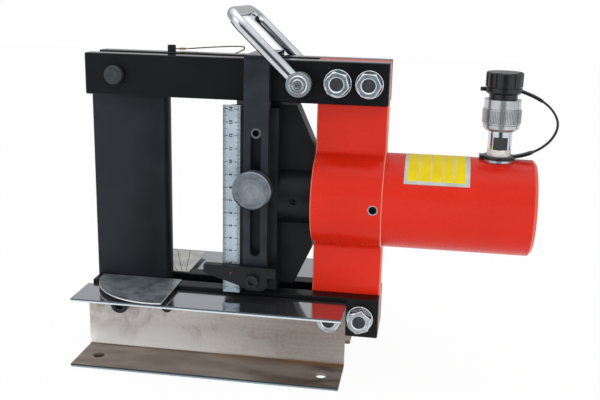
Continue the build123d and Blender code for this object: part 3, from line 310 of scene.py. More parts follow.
def turnedSteel():
    # lathe-turned steel knob: soft rings round the axis, grey, paler in the middle and darker towards the rim,
    # with a painted dark reflection on the lower rim
    look = {"tint": ("#abb3bb", "#6f7882"), "metal": 0.8, "rough": (0.3, 0.42), "cloud": 7,
            "shade": (0.35, 0.68, 0.4), "ringShade": (0.5, 1.0, 0.5), "ring": 1.1,  # mm to a radian of the wave
            "axis": (33.9, 0.0, 145.5), "middle": (3.0, 14.5), "rimShare": 0.55,
            "darkReflection": "#2f353b", "darkReflectionAt": (12.9, 13.9), "darkReflectionZ": (-2.0, -9.0)}
    waveRate = 20  # radians to a unit in a wave texture
    material, add = newMaterial("turnedSteel", {"Metallic": look["metal"]})
    centred = add("Mapping", {"Location": metres(-v for v in look["axis"])})
    rings = add("TexWave", {"Vector": centred, "Scale": perMetre(look["ring"]) / waveRate, "Distortion": 1.2,
                            "Detail": 3.0}, wave_type="RINGS", rings_direction="Y").outputs["Fac"]
    cloud = add("TexNoise", {"Scale": perMetre(look["cloud"]), "Detail": 4.0})
    flat = add("Mapping", {"Vector": centred, "Scale": roundY})
    reach = add("VectorMath", (flat,), operation="LENGTH")
    rim = add("MapRange", {"Value": reach, fromSpan: metres(look["middle"]), "To Max": look["rimShare"]})
    shade = add("MapRange", {"Value": cloud, toShare: look["shade"]})
    ringShade = add("MapRange", {"Value": rings, toShare: look["ringShade"]})
    broken = add("Math", (ringShade, cloud), operation="MULTIPLY")
    marked = add("Math", (shade, broken), operation="ADD")
    dulled = add("Math", (marked, rim), operation="ADD", use_clamp=True)
    colour = add("Mix", {"Factor": dulled, bothTints: look["tint"]}, data_type="RGBA")
    height = add("SeparateXYZ", {"Vector": flat}).outputs["Z"]
    lower = add("MapRange", {"Value": height, fromSpan: metres(look["darkReflectionZ"])})
    brink = add("MapRange", {"Value": reach, fromSpan: metres(look["darkReflectionAt"])})
    # painted dark reflection on the lower rim
    darkReflectionMask = add("Math", (lower, brink), operation="MULTIPLY")
    withDarkReflection = add("Mix", {"Factor": darkReflectionMask, "A": colour, "B": look["darkReflection"]}, data_type="RGBA")
    rough = add("MapRange", {"Value": rings, toSpan: look["rough"]})
    return dressed(material, {"Base Color": withDarkReflection, "Roughness": rough}, rings, strength=0.25, depth=0.04)


def dullSkin(name, look):
    # moulded rubber, ink, printed foil and blacked screws: a fine even tooth and a little cloud, with
    # some metal where the skin is worn through
    material, add = newMaterial(name, {"IOR": 1.5, "Specular IOR Level": look["gloss"],
                                       "Metallic": look.get("metal", 0.0)})
    tooth, cloud = [add("TexNoise", {"Scale": perMetre(look[k]), "Detail": 3.0}) for k in ("tooth", "cloud")]
    shade = add("MapRange", {"Value": cloud, fromSpan: noiseMiddle})
    colour = add("Mix", {"Factor": shade, bothTints: look["tint"]}, data_type="RGBA")
    rough = add("MapRange", {"Value": tooth, toSpan: look["rough"]})
    return dressed(material, {"Base Color": colour, "Roughness": rough}, tooth, strength=0.2)


bySlot, byNode = {}, {}  # finish of a material slot, and of nodes with their own, by the start of their name

# flat beams: even, because both spans of painted light lie outside the frame
plateLook = {
    "tint": ("#05080a", "#0f1519"), "cloud": 24, "shade": (0.3, 0.72, 0.5), "grain": 0.9,
    "along": (1.0, 1.0, 0.12), "rough": (0.3, 0.75, 0.34, 0.48), "gloss": 0.22, "paintedLightX": (-201, -200),
    "paintedLightLeftShare": 0.4, "paleZ": (300, 301), "paintedLightHighShare": 0.25, "groundZ": 240.6, "groundRough": 0.1}
bySlot["black_oxide_steel"] = blackedSteel("blackedSteelPlate", plateLook)
# the column is a wider planed bar, with painted light making it paler to the left and towards the top
byNode["forming_column"] = blackedSteel("blackedSteelColumn", {
    **plateLook, "tint": ("#080a0c", "#242a30"), "cloud": 45, "paintedLightX": (-100, -52), "paleZ": (60, 230)})
# milled slide parts: finer grain; the saddle is paler and the pusher darker
slideLook = {**plateLook, "cloud": 18, "grain": 0.6}
slideSteel = blackedSteel("blackedSteelSlide", {**slideLook, "tint": ("#121518", "#23282c")})
byNode |= dict.fromkeys(("die", "rule_bar", "arm_front", "arm_rear"), slideSteel)
byNode["saddle"] = blackedSteel("blackedSteelSaddle", {**slideLook, "tint": ("#1d2228", "#343c44")})
byNode["pusher"] = blackedSteel("blackedSteelPusher", {**slideLook, "tint": ("#0d0f11", "#191c1f")})
bySlot["red_enamel"] = redEnamel()
bySlot["bare_sheet_steel"] = coldRolledSheet()
# ground plate: straight wheel marks, scratched by the bars that lie on it, bright on the sheared edges
sectorCut = {"plane": (1.0, 1.0, 0.0), "radius": 55.85, "endX": -31.15}
byNode["sector_rear"] = brushedMetal("groundSteelPlate", {
    "tint": ("#d6d4ce", "#abadad"), "along": (1.0, 0.15, 1.0), "marks": 1.4, "cloud": 12, "rough": (0.3, 0.5),
    "bump": 0.25, "metal": 0.7, "cut": {**sectorCut, "centre": (-41.5, 10.0, 0.0), "colour": "#cfd3d4"}})
byNode["sector_front"] = brushedMetal("scratchedSteelPlate", {
    "tint": ("#aab3ba", "#707980"), "along": (0.35, 1.0, 1.0), "marks": 1.2, "cloud": 9, "rough": (0.32, 0.5),
    "bump": 0.3, "metal": 0.7, "cut": {**sectorCut, "centre": (-41.5, -10.0, 0.0), "colour": "#e4e8ea"}})
bySlot["ground_steel"] = brushedMetal("groundSteelRod", {
    "tint": ("#b3b5b8", "#8d9094"), "along": (1.0, 1.0, 0.2), "marks": 0.8, "cloud": 15, "rough": (0.18, 0.3),
    "bump": 0.15})
# rule: satin rolled strip with a cool tint and painted shade on its right edge
bySlot["rule_steel"] = brushedMetal("satinRuleSteel", {
    "tint": ("#b6c5cf", "#9aabb7"), "along": (1.0, 1.0, 0.1), "marks": 0.7, "cloud": 14, "rough": (0.38, 0.5),
    "bump": 0.12, "metal": 0.45, "cut": {"endX": 22.5, "colour": "#1d2023"}})
# zinc plate: bright bluish passivated skin with soft spangle
zincLook = {"tint": ("#b6c8d4", "#93a6b4"), "marks": 1.2, "cloud": 4, "rough": (0.08, 0.16), "bump": 0.1,
            "metal": 0.7}
bySlot["zinc_plate"] = brushedMetal("zincPlatedSteel", zincLook)
# the washers are greyer and more metallic
byNode["washer_"] = brushedMetal("zincPlatedWasher", {**zincLook, "tint": ("#b4bec6", "#8d98a1"), "metal": 0.9})
# the handle's screws are darker round the socket
handleEye = {"centre": (66.4, 0.0, 225.0), "plane": roundY}
byNode["handle_screw_"] = brushedMetal("zincPlatedScrew", {
    **zincLook, "tint": ("#c0cad1", "#9aa5ad"), "metal": 0.88,
    "cut": {**handleEye, "radius": 4.7, "colour": "#d6e1e9"}})
# the lower nuts are greyer and more metallic
byNode["nut_low"] = brushedMetal("zincPlatedLowNut", {**zincLook, "tint": ("#b4bbc0", "#90979c"), "metal": 0.8})
# painted highlight: the eased corners of nuts, washers and handle screws are near white
paintedZincHighlight = brushedMetal("rubbedZincEdge", {**zincLook, "tint": ("#f0f5f8", "#d5dde3"), "metal": 0.4})
# chrome: polished, near mirror; the handle's eyes are rubbed satin by their washers
chromeLook = {"tint": ("#d3d8dc", "#c2c8ce"), "marks": 2.5, "cloud": 20, "rough": (0.03, 0.06), "bump": 0.02}
bySlot["bright_chrome"] = brushedMetal("chromePlatedSteel", {**chromeLook, "patch": {
    **handleEye, "radius": 9.4, "tint": ("#c8d2da", "#a8b3bb"), "rough": 0.15, "metal": 0.72}})
# the coupler's nipple has white tape round its foot
byNode["coupler_nipple"] = brushedMetal("tapedChromeSteel", {**chromeLook, "cloud": 3, "patch": {
    "centre": (0.0, 0.0, 170.8), "plane": onlyZ, "radius": 8.0, "tint": ("#dededb", "#bab4ae"), "rough": 0.6,
    "metal": 0.0}})
# nickel on the coupler's collar: softer than the chrome, rubbed by hands
nickelLook = {"tint": ("#c8cccf", "#a2a7aa"), "along": (1.0, 1.0, 0.3), "marks": 1.0, "cloud": 14,
              "rough": (0.1, 0.2), "bump": 0.06, "metal": 0.75}
satinNickel = brushedMetal("satinNickelSteel", nickelLook)
# painted shade between the ridges of its grip
byNode["coupler_collar"] = brushedMetal("grimedNickelSteel", {**nickelLook, "patch": {
    "centre": (0.0, 0.0, 203.6), "plane": onlyZ, "radius": 4.9, "tint": ("#8b8f93", "#696d71"), "rough": 0.3,
    "metal": 0.6}})
turnedKnob = byNode["clamp_knob"] = turnedSteel()
mouldedRubber = bySlot["black_rubber"] = dullSkin("mouldedRubber", {
    "tint": ("#090c0f", "#13181d"), "tooth": 0.6, "cloud": 8, "rough": (0.24, 0.36), "gloss": 0.55})
# the pin's head and the bolts' ends are worn paler than the screws
byNode["locking_pin"] = byNode["bolt_"] = dullSkin("wornBlackedPin", {
    "tint": ("#2c3134", "#383e41"), "tooth": 0.6, "cloud": 4, "rough": (0.4, 0.55), "gloss": 0.4, "metal": 0.2})
bySlot["dark_screw_steel"] = dullSkin("blackedScrewSteel", {
    "tint": ("#121315", "#222427"), "tooth": 0.5, "cloud": 3, "rough": (0.35, 0.5), "gloss": 0.5, "metal": 0.3})
# socket screws, black in the socket as painted shade: the guide screws are paler round it, and the lock screw
# has a pale edge
socketLook = {"tint": ("#15171a", "#0c0d0f"), "marks": 0.8, "cloud": 4, "rough": (0.3, 0.45), "bump": 0.1,
              "metal": 0.6}
byNode["guide_screw_"] = brushedMetal("rubbedScrewSteel", {
    **socketLook, "cut": {"centre": (33.9, 0.0, 186.5), "radius": 2.55, "colour": "#666d73"}})
byNode["lock_screw"] = brushedMetal("blackSocketScrew", {
    **socketLook, "cut": {"centre": (123.5, 0.0, 134.2), "radius": 3.0, "colour": "#b4bdc4"}})
scribeInk = dullSkin("etchedBlackLine", {
    "tint": ("#26282b", "#3b3e42"), "tooth": 0.4, "cloud": 2, "rough": (0.5, 0.7), "gloss": 0.3})
yellowFoil = dullSkin("printedYellowFoil", {
    "tint": ("#dcc606", "#d3ba04"), "tooth": 0.8, "cloud": 12, "rough": (0.4, 0.5), "gloss": 0.15})
silverFoil = dullSkin("silverFoil", {
    "tint": ("#b2bbb6", "#a2aba6"), "tooth": 0.8, "cloud": 10, "rough": (0.35, 0.45), "gloss": 0.5,
    "metal": 0.25})
indexPaint = dullSkin("redIndexPaint", {
    "tint": ("#c8281c", "#b01f16"), "tooth": 0.4, "cloud": 2, "rough": (0.4, 0.5), "gloss": 0.4})
brassFerrule = brushedMetal("crimpedBrass", {
    "tint": ("#b08c52", "#7e6438"), "marks": 0.6, "cloud": 2, "rough": (0.25, 0.4), "bump": 0.2})
strandedWire = brushedMetal("strandedSteelWire", {
    "tint": ("#9a948a", "#6d675e"), "marks": 0.5, "cloud": 5, "rough": (0.3, 0.45), "bump": 0.3})


def finishFor(node):
    own = [finish for start, finish in byNode.items() if node.startswith(start)]
    return own[0] if own else bySlot[slotOf[node]]


print("finishes made:", len(bpy.data.materials))

# camera at the photograph's viewing angle
eye = {"lens": 51.18, "sensor": 36.0, "near": 0.01, "place": (0.16249, -0.64642, 0.29637), "turn": 0.15186,
       "dip": 0.24991, "roll": 0.02362}
cameraData = bpy.data.cameras.new("photoCamera")
cameraData.lens = eye["lens"]
cameraData.sensor_width = eye["sensor"]
cameraData.clip_start = eye["near"]
camera = newObject("photoCamera", cameraData)
camera.matrix_world = Matrix.Translation(eye["place"])
for angle, axis in ((eye["turn"], "Z"), (radians(90) - eye["dip"], "X"), (eye["roll"], "Z")):
    camera.matrix_world = camera.matrix_world @ Matrix.Rotation(angle, 4, axis)
link(camera)
scene.camera = camera
print("camera set")


def addPiece(name, mesh, finishes, node, smooth=None, rides=True):
    # takes the body of a CAD node; without finishes the mesh keeps its own
    mesh.name = name
    if len(finishes) == 1:
        mesh.materials.clear()  # one finish for every face
    for finish in finishes:
        mesh.materials.append(finish)
    if smooth:
        mesh.shade_smooth()
        mesh.set_sharp_from_angle(angle=radians(smooth))
    piece = newObject(name, mesh)
    link(piece)
    if rides:
        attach(piece, bodyOf[node])
    return piece


def meshOf(work, outward=True):
    if outward:
        bmesh.ops.recalc_face_normals(work, faces=work.faces)
    mesh = newMesh("made")
    work.to_mesh(mesh)
    work.free()
    return mesh


def routeCurve(name, route, order=3):
    # one smooth line drawn by control points in mm
    curve = bpy.data.curves.new(name, "CURVE")
    curve.dimensions = "3D"
    curve.resolution_u = 12
    spline = curve.splines.new("NURBS")
    spline.points.add(len(route) - 1)
    for point, place in zip(spline.points, route):
        point.co = (*metres(place), 1.0)
    spline.order_u = order
    spline.use_endpoint_u = True
    return newObject(name, curve)


def splinePoints(route, order=3):
    carrier = routeCurve("routeLine", route, order)
    points = [v.co.copy() for v in bpy.data.meshes.new_from_object(carrier).vertices]
    bpy.data.objects.remove(carrier)
    return points


def lineLength(points):
    return sum((b - a).length for a, b in zip(points, points[1:]))


# wire lanyard: the same route as the CAD wire, on one smooth line
lanyard = {"radius": 0.55, "route": [
    (-43.2, 18.2, 242.8), (-36.5, 33.9, 241.8), (-26.5, 34.5, 243.0), (8.1, 36.0, 245.7), (10.9, 36.8, 243.2),
    (1.5, 37.0, 238.8), (-37.0, 34.8, 226.0), (-50.0, 30.5, 224.0), (-50.0, 18.5, 224.0)]}
wireLine = splinePoints(lanyard["route"])
wire = routeCurve("lanyardWire", lanyard["route"])
wire.data.bevel_depth = lanyard["radius"] * mm
wire.data.bevel_resolution = 3
wire.data.use_fill_caps = True
wire.data.materials.append(strandedWire)
link(wire)
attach(wire, "frame")
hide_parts("lanyard_wire")


def turnedMesh(profile, steps, place):
    # profile of (radius, height) pairs in mm turned round Z, then put in place
    work = bmesh.new()
    rings = []
    turns = [2 * pi * i / steps for i in range(steps)]
    for radius, height in profile:
        if radius == 0:
            rings.append([work.verts.new((0, 0, height * mm))])
            continue
        rings.append([work.verts.new((radius * mm * cos(a), radius * mm * sin(a), height * mm)) for a in turns])
    for low, high in zip(rings, rings[1:]):
        for i in range(steps):
            j = (i + 1) % steps
            corners = [low[i % len(low)], low[j % len(low)], high[j % len(high)], high[i % len(high)]]
            work.faces.new(list(dict.fromkeys(corners)))  # three at a tip
    if profile[0] == profile[-1]:
        bmesh.ops.remove_doubles(work, verts=work.verts, dist=1e-7)
    mesh = meshOf(work)
    mesh.transform(place)
    return mesh


def alongLine(points, distance):
    for a, b in zip(points, points[1:]):
        step = (b - a).length
        if distance <= step:
            return a.lerp(b, distance / step), (b - a).normalized()
        distance -= step


# crimped ferrule on the wire, by the anchor screw
ferruleLook = {"at": 9.5, "steps": 20, "profile": [
    (0.0, -3.0), (0.76, -3.0), (0.95, -2.55), (0.95, -0.3), (0.7125, 0.0), (0.95, 0.3), (0.95, 2.55),
    (0.76, 3.0), (0.0, 3.0)]}
spot, way = alongLine(wireLine, ferruleLook["at"] * mm)
ferrulePlace = Matrix.Translation(spot) @ way.to_track_quat("Z", "Y").to_matrix().to_4x4()
ferrule = addPiece("lanyardFerrule", turnedMesh(ferruleLook["profile"], ferruleLook["steps"], ferrulePlace),
                   [brassFerrule], "lanyard_wire", smooth=50)

# eased edges: angles in degrees, the merging distance in metres, the width of each node's edges in mm
easing = {
    # bright: nodes whose eased edges carry a painted highlight, by the start of their name
    "merge": 2e-6, "flat": 0.3, "limit": 38, "segments": 2, "bright": {"washer_": 0.5, "handle_screw_": 0.25},
    "widths": {
        "saddle": 0.7, "arm_front": 0.6, "arm_rear": 0.6, "die": 0.6, "pusher": 0.6, "rule_bar": 0.3,
        "forming_column": 0.6, "sector_front": 0.15, "sector_rear": 0.15, "channel_front": 0.25,
        "channel_rear": 0.25, "ram_head": 0.8, "handle": 0.9, "dust_cap": 0.5, "barrel": 0.3,
        "locking_pin": 0.3, "coupler_collar": 0.2}}
for start, width in easing["bright"].items():
    easing["widths"] |= {node: width for node in nodes if node.startswith(start)}


def softened(node, width):
    # merged copy of a CAD node with its sharp edges eased, and a painted highlight on those edges on the zinc
    # pieces
    work = bmesh.new()
    work.from_mesh(nodes[node].data)
    bmesh.ops.remove_doubles(work, verts=work.verts, dist=easing["merge"])
    bmesh.ops.dissolve_limit(work, angle_limit=radians(easing["flat"]), verts=work.verts, edges=work.edges)
    work.verts.index_update()
    mesh = newMesh(node + "Eased")
    mesh.from_pydata([v.co for v in work.verts], [], [[v.index for v in f.verts] for f in work.faces])
    mesh.update()
    work.free()
    bright = node.startswith(tuple(easing["bright"]))
    finishes = [finishFor(node), paintedZincHighlight] if bright else [finishFor(node)]
    piece = addPiece(node + "Eased", mesh, finishes, node, easing["limit"])
    edge = piece.modifiers.new("easedEdge", "BEVEL")
    edge.width = width * mm
    edge.segments = easing["segments"]
    edge.limit_method = "ANGLE"
    edge.angle_limit = radians(easing["limit"])
    edge.harden_normals = True
    if bright:
        edge.material = 1
    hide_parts(node)
    return piece


eased = {node: softened(node, width) for node, width in easing["widths"].items()}

# frame nuts: turned chamfer, countersunk bore, and a painted highlight along the hexagon's edge and in the
# countersink
nut = {"flats": 17.0, "thick": 8.0, "bore": 5.05, "countersink": 0.8, "cone": 8.6, "face": 0.25, "edge": 0.5,
       "ease": 0.2, "steps": 72, "bright": (1, 4),  # strips of the profile: countersink and edge line
       "turn": {"nut_top_inner": -14, "nut_top_outer": -2, "nut_low_inner": 0, "nut_low_outer": 19}}
for node, degrees in nut["turn"].items():
    low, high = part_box(node)
    front = Vector(((low[0] + high[0]) / 2, low[1], (low[2] + high[2]) / 2))
    work = bmesh.new()
    rings = []
    for i in range(nut["steps"]):
        turn = 2 * pi * i / nut["steps"]
        reach = nut["flats"] / 2 / cos(turn % (pi / 3) - pi / 6)
        shoulder = reach - nut["edge"]
        out = turn + radians(degrees)
        bore, sink, cone = nut["bore"], nut["countersink"], nut["cone"]
        profile = [  # distance from the axis, depth
            (bore, nut["thick"]), (bore, sink), (bore + sink, 0.0), (min(cone, shoulder) - nut["face"], 0.0),
            (shoulder, max(shoulder - cone, 0.0)), (reach, max(reach - cone, 0.0) + nut["ease"]),
            (reach, nut["thick"])]
        rings.append([work.verts.new(front + Vector((r * cos(out), depth, r * sin(out))) * mm)
                      for r, depth in profile])
    for a, b in zip(rings, rings[1:] + rings[:1]):
        for k in range(len(a)):
            j = (k + 1) % len(a)
            face = work.faces.new((a[k], b[k], b[j], a[j]))
            face.material_index = int(k in nut["bright"])
    eased[node] = addPiece(node + "Eased", meshOf(work), [finishFor(node), paintedZincHighlight], node, smooth=20)
    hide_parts(node)
for node, piece in nodes.items():
    piece.data.materials.clear()
    piece.data.materials.append(finishFor(node))
print("CAD nodes dressed:", len(nodes), "with", len(eased), "eased copies")


def nodeGroup(name, sizes):
    tree = bpy.data.node_groups.new(name, "GeometryNodeTree")
    tree.interface.new_socket("Geometry", in_out="OUTPUT", socket_type="NodeSocketGeometry")
    for label in sizes:
        kind = "NodeSocketInt" if label == "Count" else "NodeSocketFloat"
        tree.interface.new_socket(label, in_out="INPUT", socket_type=kind)
    add = partial(addNode, tree)
    return tree, add, add("NodeGroupInput").outputs


def finishedGroup(tree, instances, material):
    solid = addNode(tree, "GeometryNodeRealizeInstances", {"Geometry": instances})
    painted = addNode(tree, "GeometryNodeSetMaterial", {"Geometry": solid, "Material": material})
    addNode(tree, "NodeGroupOutput", {"Geometry": painted})
    return tree


def bakedGroup(tree, sizes):
    # a plain mesh from the tree, with its sizes in mm
    carrier = newObject("carrier", newMesh("carrier"))
    link(carrier)
    maker = carrier.modifiers.new("maker", "NODES")
    maker.node_group = tree
    for item in tree.interface.items_tree:
        if item.in_out == "INPUT":
            maker[item.identifier] = sizes[item.name] * (1 if item.name == "Count" else mm)
    mesh = bpy.data.meshes.new_from_object(carrier.evaluated_get(bpy.context.evaluated_depsgraph_get()))
    bpy.data.objects.remove(carrier)
    return mesh


def joinedMesh(meshes):
    work = bmesh.new()
    for mesh in meshes:
        work.from_mesh(mesh)
    return meshOf(work, outward=False)


def ridgeRing(material):
    # straight ridges round an axis, each a thin bar
    tree, add, given = nodeGroup("ridgeRing", ("Count", "Radius", "Length", "Width", "Height"))
    ring = add("GeometryNodeMeshCircle", {"Vertices": given["Count"], "Radius": given["Radius"]})
    size = add("ShaderNodeCombineXYZ", {"X": given["Height"], "Y": given["Width"], "Z": given["Length"]})
    bar = add("GeometryNodeMeshCube", {"Size": size})
    turn = add("ShaderNodeMath", (2 * pi, given["Count"]), operation="DIVIDE")
    angle = add("ShaderNodeMath", (add("GeometryNodeInputIndex"), turn), operation="MULTIPLY")
    spin = add("ShaderNodeCombineXYZ", {"Z": angle})
    placed = add("GeometryNodeInstanceOnPoints", {"Points": ring, "Instance": bar, "Rotation": spin})
    return finishedGroup(tree, placed, material)


grips = {
    "knobGrip": {
        "node": "clamp_knob", "finish": turnedKnob, "place": (33.9, -42.0, 145.5), "turn": upright,
        "Count": 64, "Radius": 14.62, "Length": 6.6, "Width": 0.55, "Height": 0.5},
    "collarGrip": {
        "node": "coupler_collar", "finish": satinNickel, "place": (213.9, 0.0, 203.6),
        "turn": Matrix(), "Count": 72, "Radius": 14.02, "Length": 9.8, "Width": 0.55, "Height": 0.5}}
for name, grip in grips.items():
    mesh = bakedGroup(ridgeRing(grip["finish"]), grip)
    mesh.transform(Matrix.Translation(metres(grip["place"])) @ grip["turn"])
    addPiece(name, mesh, [], grip["node"])
print("grips made")


def tickLadder(material):
    # a column of etched strokes, one step apart, as thin raised bars
    tree, add, given = nodeGroup("tickLadder", ("Count", "Step", "Length", "Width", "Depth"))
    step = add("ShaderNodeCombineXYZ", {"Z": given["Step"]})
    column = add("GeometryNodeMeshLine", {"Count": given["Count"], "Offset": step})
    size = add("ShaderNodeCombineXYZ", {"X": given["Length"], "Y": given["Depth"], "Z": given["Width"]})
    stroke = add("GeometryNodeMeshCube", {"Size": size})
    placed = add("GeometryNodeInstanceOnPoints", {"Points": column, "Instance": stroke})
    return finishedGroup(tree, placed, material)


# rule marks: millimetres on both edges, longer strokes each 5 and 10 mm, plain numbers each 10 mm, and a dark
# line of painted shade down each edge; the strokes are drawn heavier than real, so that they show at the
# render's size
rule = {
    "left": 8.7, "face": -31.2, "zero": 64.0, "top": 206.4, "depth": 0.05,
    "numbers": 14, "numberStep": 10, "numberSize": 3.24, "numberBold": 0.2, "numberAt": 6.2,
    # painted shade: a dark line down each edge of the rule
    "edges": [(0.0, 0.3), (13.3, 0.6)],  # inset and width of each dark edge
    "ladders": [  # first mark, step, distance of the stroke's left end from the rule's left edge, length, width
        (62.0, 1.0, 0.3, 1.9, 0.4), (64.0, 5.0, 0.3, 2.7, 0.4), (64.0, 10.0, 0.3, 3.6, 0.56),
        (62.0, 1.0, 11.0, 2.6, 0.4), (64.0, 5.0, 10.2, 3.4, 0.4), (64.0, 10.0, 8.9, 2.2, 0.56)]}
ladderTree = tickLadder(scribeInk)
ruleFoot, ruleHead = (corner[2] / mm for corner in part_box("rule"))
strokes = [(first, step, int((rule["top"] - first) / step) + 1, inset, length, width)
           for first, step, inset, length, width in rule["ladders"]]
strokes += [((ruleFoot + ruleHead) / 2, 0.0, 1, inset, width, ruleHead - ruleFoot)
            for inset, width in rule["edges"]]
markMeshes = []
for first, step, count, inset, length, width in strokes:
    mesh = bakedGroup(ladderTree, {"Count": count, "Step": step, "Length": length, "Width": width,
                                   "Depth": rule["depth"]})
    mesh.transform(Matrix.Translation(metres((rule["left"] + inset + length / 2, rule["face"], first))))
    markMeshes.append(mesh)
for number in range(1, rule["numbers"] + 1):
    words = bpy.data.curves.new("ruleNumber", "FONT")
    words.body = str(number)
    words.align_x = words.align_y = "CENTER"
    words.size = rule["numberSize"] * mm
    words.extrude = rule["depth"] / 2 * mm
    words.offset = rule["numberBold"] * mm
    words.resolution_u = 2
    carrier = newObject("ruleNumber", words)
    mesh = bpy.data.meshes.new_from_object(carrier)
    bpy.data.objects.remove(carrier)
    # the numbers lie on their side, because the rule was made to be read flat
    place = metres((rule["left"] + rule["numberAt"], rule["face"], rule["zero"] + rule["numberStep"] * number))
    mesh.transform(Matrix.Translation(place) @ upright @ Matrix.Rotation(radians(90), 4, "Z"))
    markMeshes.append(mesh)
addPiece("ruleMarks", joinedMesh(markMeshes), [scribeInk], "rule")
print("rule marked")

# angle lines scribed on the rear sector plate, fanned out from a point on the bending line
scribe = {
    "pivot": (-28.0, -14.3, 0), "centre": (-41.5, 10.0, 0), "reach": 55.0, "inner": 24.9, "width": 0.5,
    "top": 59.1, "angles": (12.5, 20.2, 28, 36, 44, 52), "depth": 0.05}
start = Vector(scribe["pivot"])
gap = start - Vector(scribe["centre"])
work = bmesh.new()
for degrees in scribe["angles"]:
    turn = radians(degrees)
    way = Vector((-sin(turn), cos(turn), 0))
    near = scribe["inner"] / cos(turn)
    far = -gap.dot(way) + sqrt(gap.dot(way) ** 2 - gap.length_squared + scribe["reach"] ** 2)
    across = Vector((-way.y, way.x, 0)) * scribe["width"] / 2
    ring = [start + way * run + across * side for run, side in ((near, -1), (far, -1), (far, 1), (near, 1))]
    low, high = [[work.verts.new(Vector((p.x, p.y, scribe["top"] + cloudAndPaintedLight)) * mm) for p in ring]
                 for cloudAndPaintedLight in (-scribe["depth"], scribe["depth"])]
    work.faces.new(high)
    for i in range(len(ring)):
        j = (i + 1) % len(ring)
        work.faces.new((low[i], low[j], high[j], high[i]))
    work.faces.new(low[::-1])
addPiece("sectorLines", meshOf(work), [scribeInk], "sector_rear")
print("sectors scribed")

# red index dot on the front arm, beside the rule
dot = {"place": (16.7, -38.5, 78.0), "steps": 24,
       "profile": [(0.0, 0.15), (0.455, 0.12), (0.65, 0.0), (0.65, -0.2), (0.0, -0.2)]}
dotPlace = Matrix.Translation(metres(dot["place"])) @ upright
addPiece("indexDot", turnedMesh(dot["profile"], dot["steps"], dotPlace), [indexPaint], "arm_front", smooth=60)

# bare rating plate: foil wrapped on the barrel, yellow rows in a silver border, no words
plate = {
    "axisZ": 134.2, "radius": 36.5, "thick": 0.18, "x": (145.0, 193.0), "angle": (33.5, 115.0), "steps": 24,
    "inX": (147.6, 189.8), "inAngle": (37.7, 111.0), "rows": (156.0, 164.7, 173.4, 181.3), "rule": 0.7}
xs = [plate["x"][0], plate["inX"][0]]
for cut in plate["rows"]:
    xs += [cut - plate["rule"] / 2, cut + plate["rule"] / 2]
xs += [plate["inX"][1], plate["x"][1]]
first, last = plate["inAngle"]
angles = [first + (last - first) * i / plate["steps"] for i in range(plate["steps"] + 1)]
angles = [plate["angle"][0], *angles, plate["angle"][1]]
endX, endAngle = len(xs) - 1, len(angles) - 1
work = bmesh.new()
layers = [[[work.verts.new(Vector((x, -r * cos(radians(a)), plate["axisZ"] + r * sin(radians(a)))) * mm)
            for a in angles] for x in xs] for r in (plate["radius"], plate["radius"] + plate["thick"])]
for i in range(endX):
    yellowRow = i % 2 == 1 and i < endX - 1
    for j in range(endAngle):
        for grid in layers:
            face = work.faces.new((grid[i][j], grid[i + 1][j], grid[i + 1][j + 1], grid[i][j + 1]))
            face.material_index = int(yellowRow and 0 < j < endAngle - 1)
rim = [(i, 0) for i in range(endX + 1)] + [(endX, j) for j in range(1, endAngle + 1)]
rim += [(i, endAngle) for i in range(endX - 1, -1, -1)] + [(0, j) for j in range(endAngle - 1, 0, -1)]
for (i, j), (k, l) in zip(rim, rim[1:] + rim[:1]):
    work.faces.new((layers[0][i][j], layers[0][k][l], layers[1][k][l], layers[1][i][j]))
addPiece("ratingPlate", meshOf(work), [silverFoil, yellowFoil], "barrel", smooth=40)
print("plate made")

# cap strap: moulded ring and ear under the coupler, a thin band, and a thicker tab at each end
strap = {
    "line": [
        (221.0, 0, 172.6), (228.0, 0, 173.4), (237.2, 0, 176.4), (245.0, 0, 180.8), (251.0, 0, 186.6),
        (254.8, 0, 194.0), (255.0, 0, 201.4), (250.6, 0, 209.0), (244.0, 0, 214.9), (235.4, 0, 219.4),
        (226.0, 0, 222.5)],
    "thin": (2.6, 1.7), "tab": (6.0, 2.6), "tabLength": 17.0, "ease": 2.0, "sides": 16, "square": 0.5,
    "axis": 213.9, "ringOuter": 12.2, "ringInner": 7.3, "ringZ": (171.1, 173.9), "ringEase": 0.6,
    "ringSteps": 48, "earReach": 14.4, "earWidth": 9.0, "earGap": 1.0, "earInset": 0.1, "earEase": 0.5}
strapLine = splinePoints(strap["line"], order=4)
strapLength = lineLength(strapLine) / mm
work = bmesh.new()
loops = []
for i, spot in enumerate(strapLine):
    run = lineLength(strapLine[:i + 1]) / mm
    way = (strapLine[min(i + 1, len(strapLine) - 1)] - strapLine[max(i - 1, 0)]).normalized()
    out = way.cross(Vector((0, 1, 0)))
    fromEnd = min(run, strapLength - run)
    tabShare = min(max((strap["tabLength"] + strap["ease"] - fromEnd) / strap["ease"], 0.0), 1.0)
    wide, deep = [a + (b - a) * tabShare for a, b in zip(strap["thin"], strap["tab"])]
    loop = []
    for k in range(strap["sides"]):
        turn = 2 * pi * k / strap["sides"]
        side, up = [copysign(abs(v) ** strap["square"], v) * size / 2
                    for v, size in ((cos(turn), wide), (sin(turn), deep))]
        loop.append(work.verts.new(spot + Vector((0, side * mm, 0)) + out * up * mm))
    loops.append(loop)
for a, b in zip(loops, loops[1:]):
    for k in range(strap["sides"]):
        j = (k + 1) % strap["sides"]
        work.faces.new((a[k], a[j], b[j], b[k]))
work.faces.new(loops[0][::-1])
work.faces.new(loops[-1])
bandMesh = meshOf(work)
lowZ, highZ = strap["ringZ"]
inner, outer, ease = strap["ringInner"], strap["ringOuter"], strap["ringEase"]
ringMesh = turnedMesh([
    (inner, lowZ), (outer - ease, lowZ), (outer, lowZ + ease), (outer, highZ - ease), (outer - ease, highZ),
    (inner, highZ), (inner, lowZ)], strap["ringSteps"], Matrix.Translation((strap["axis"] * mm, 0, 0)))
work = bmesh.new()
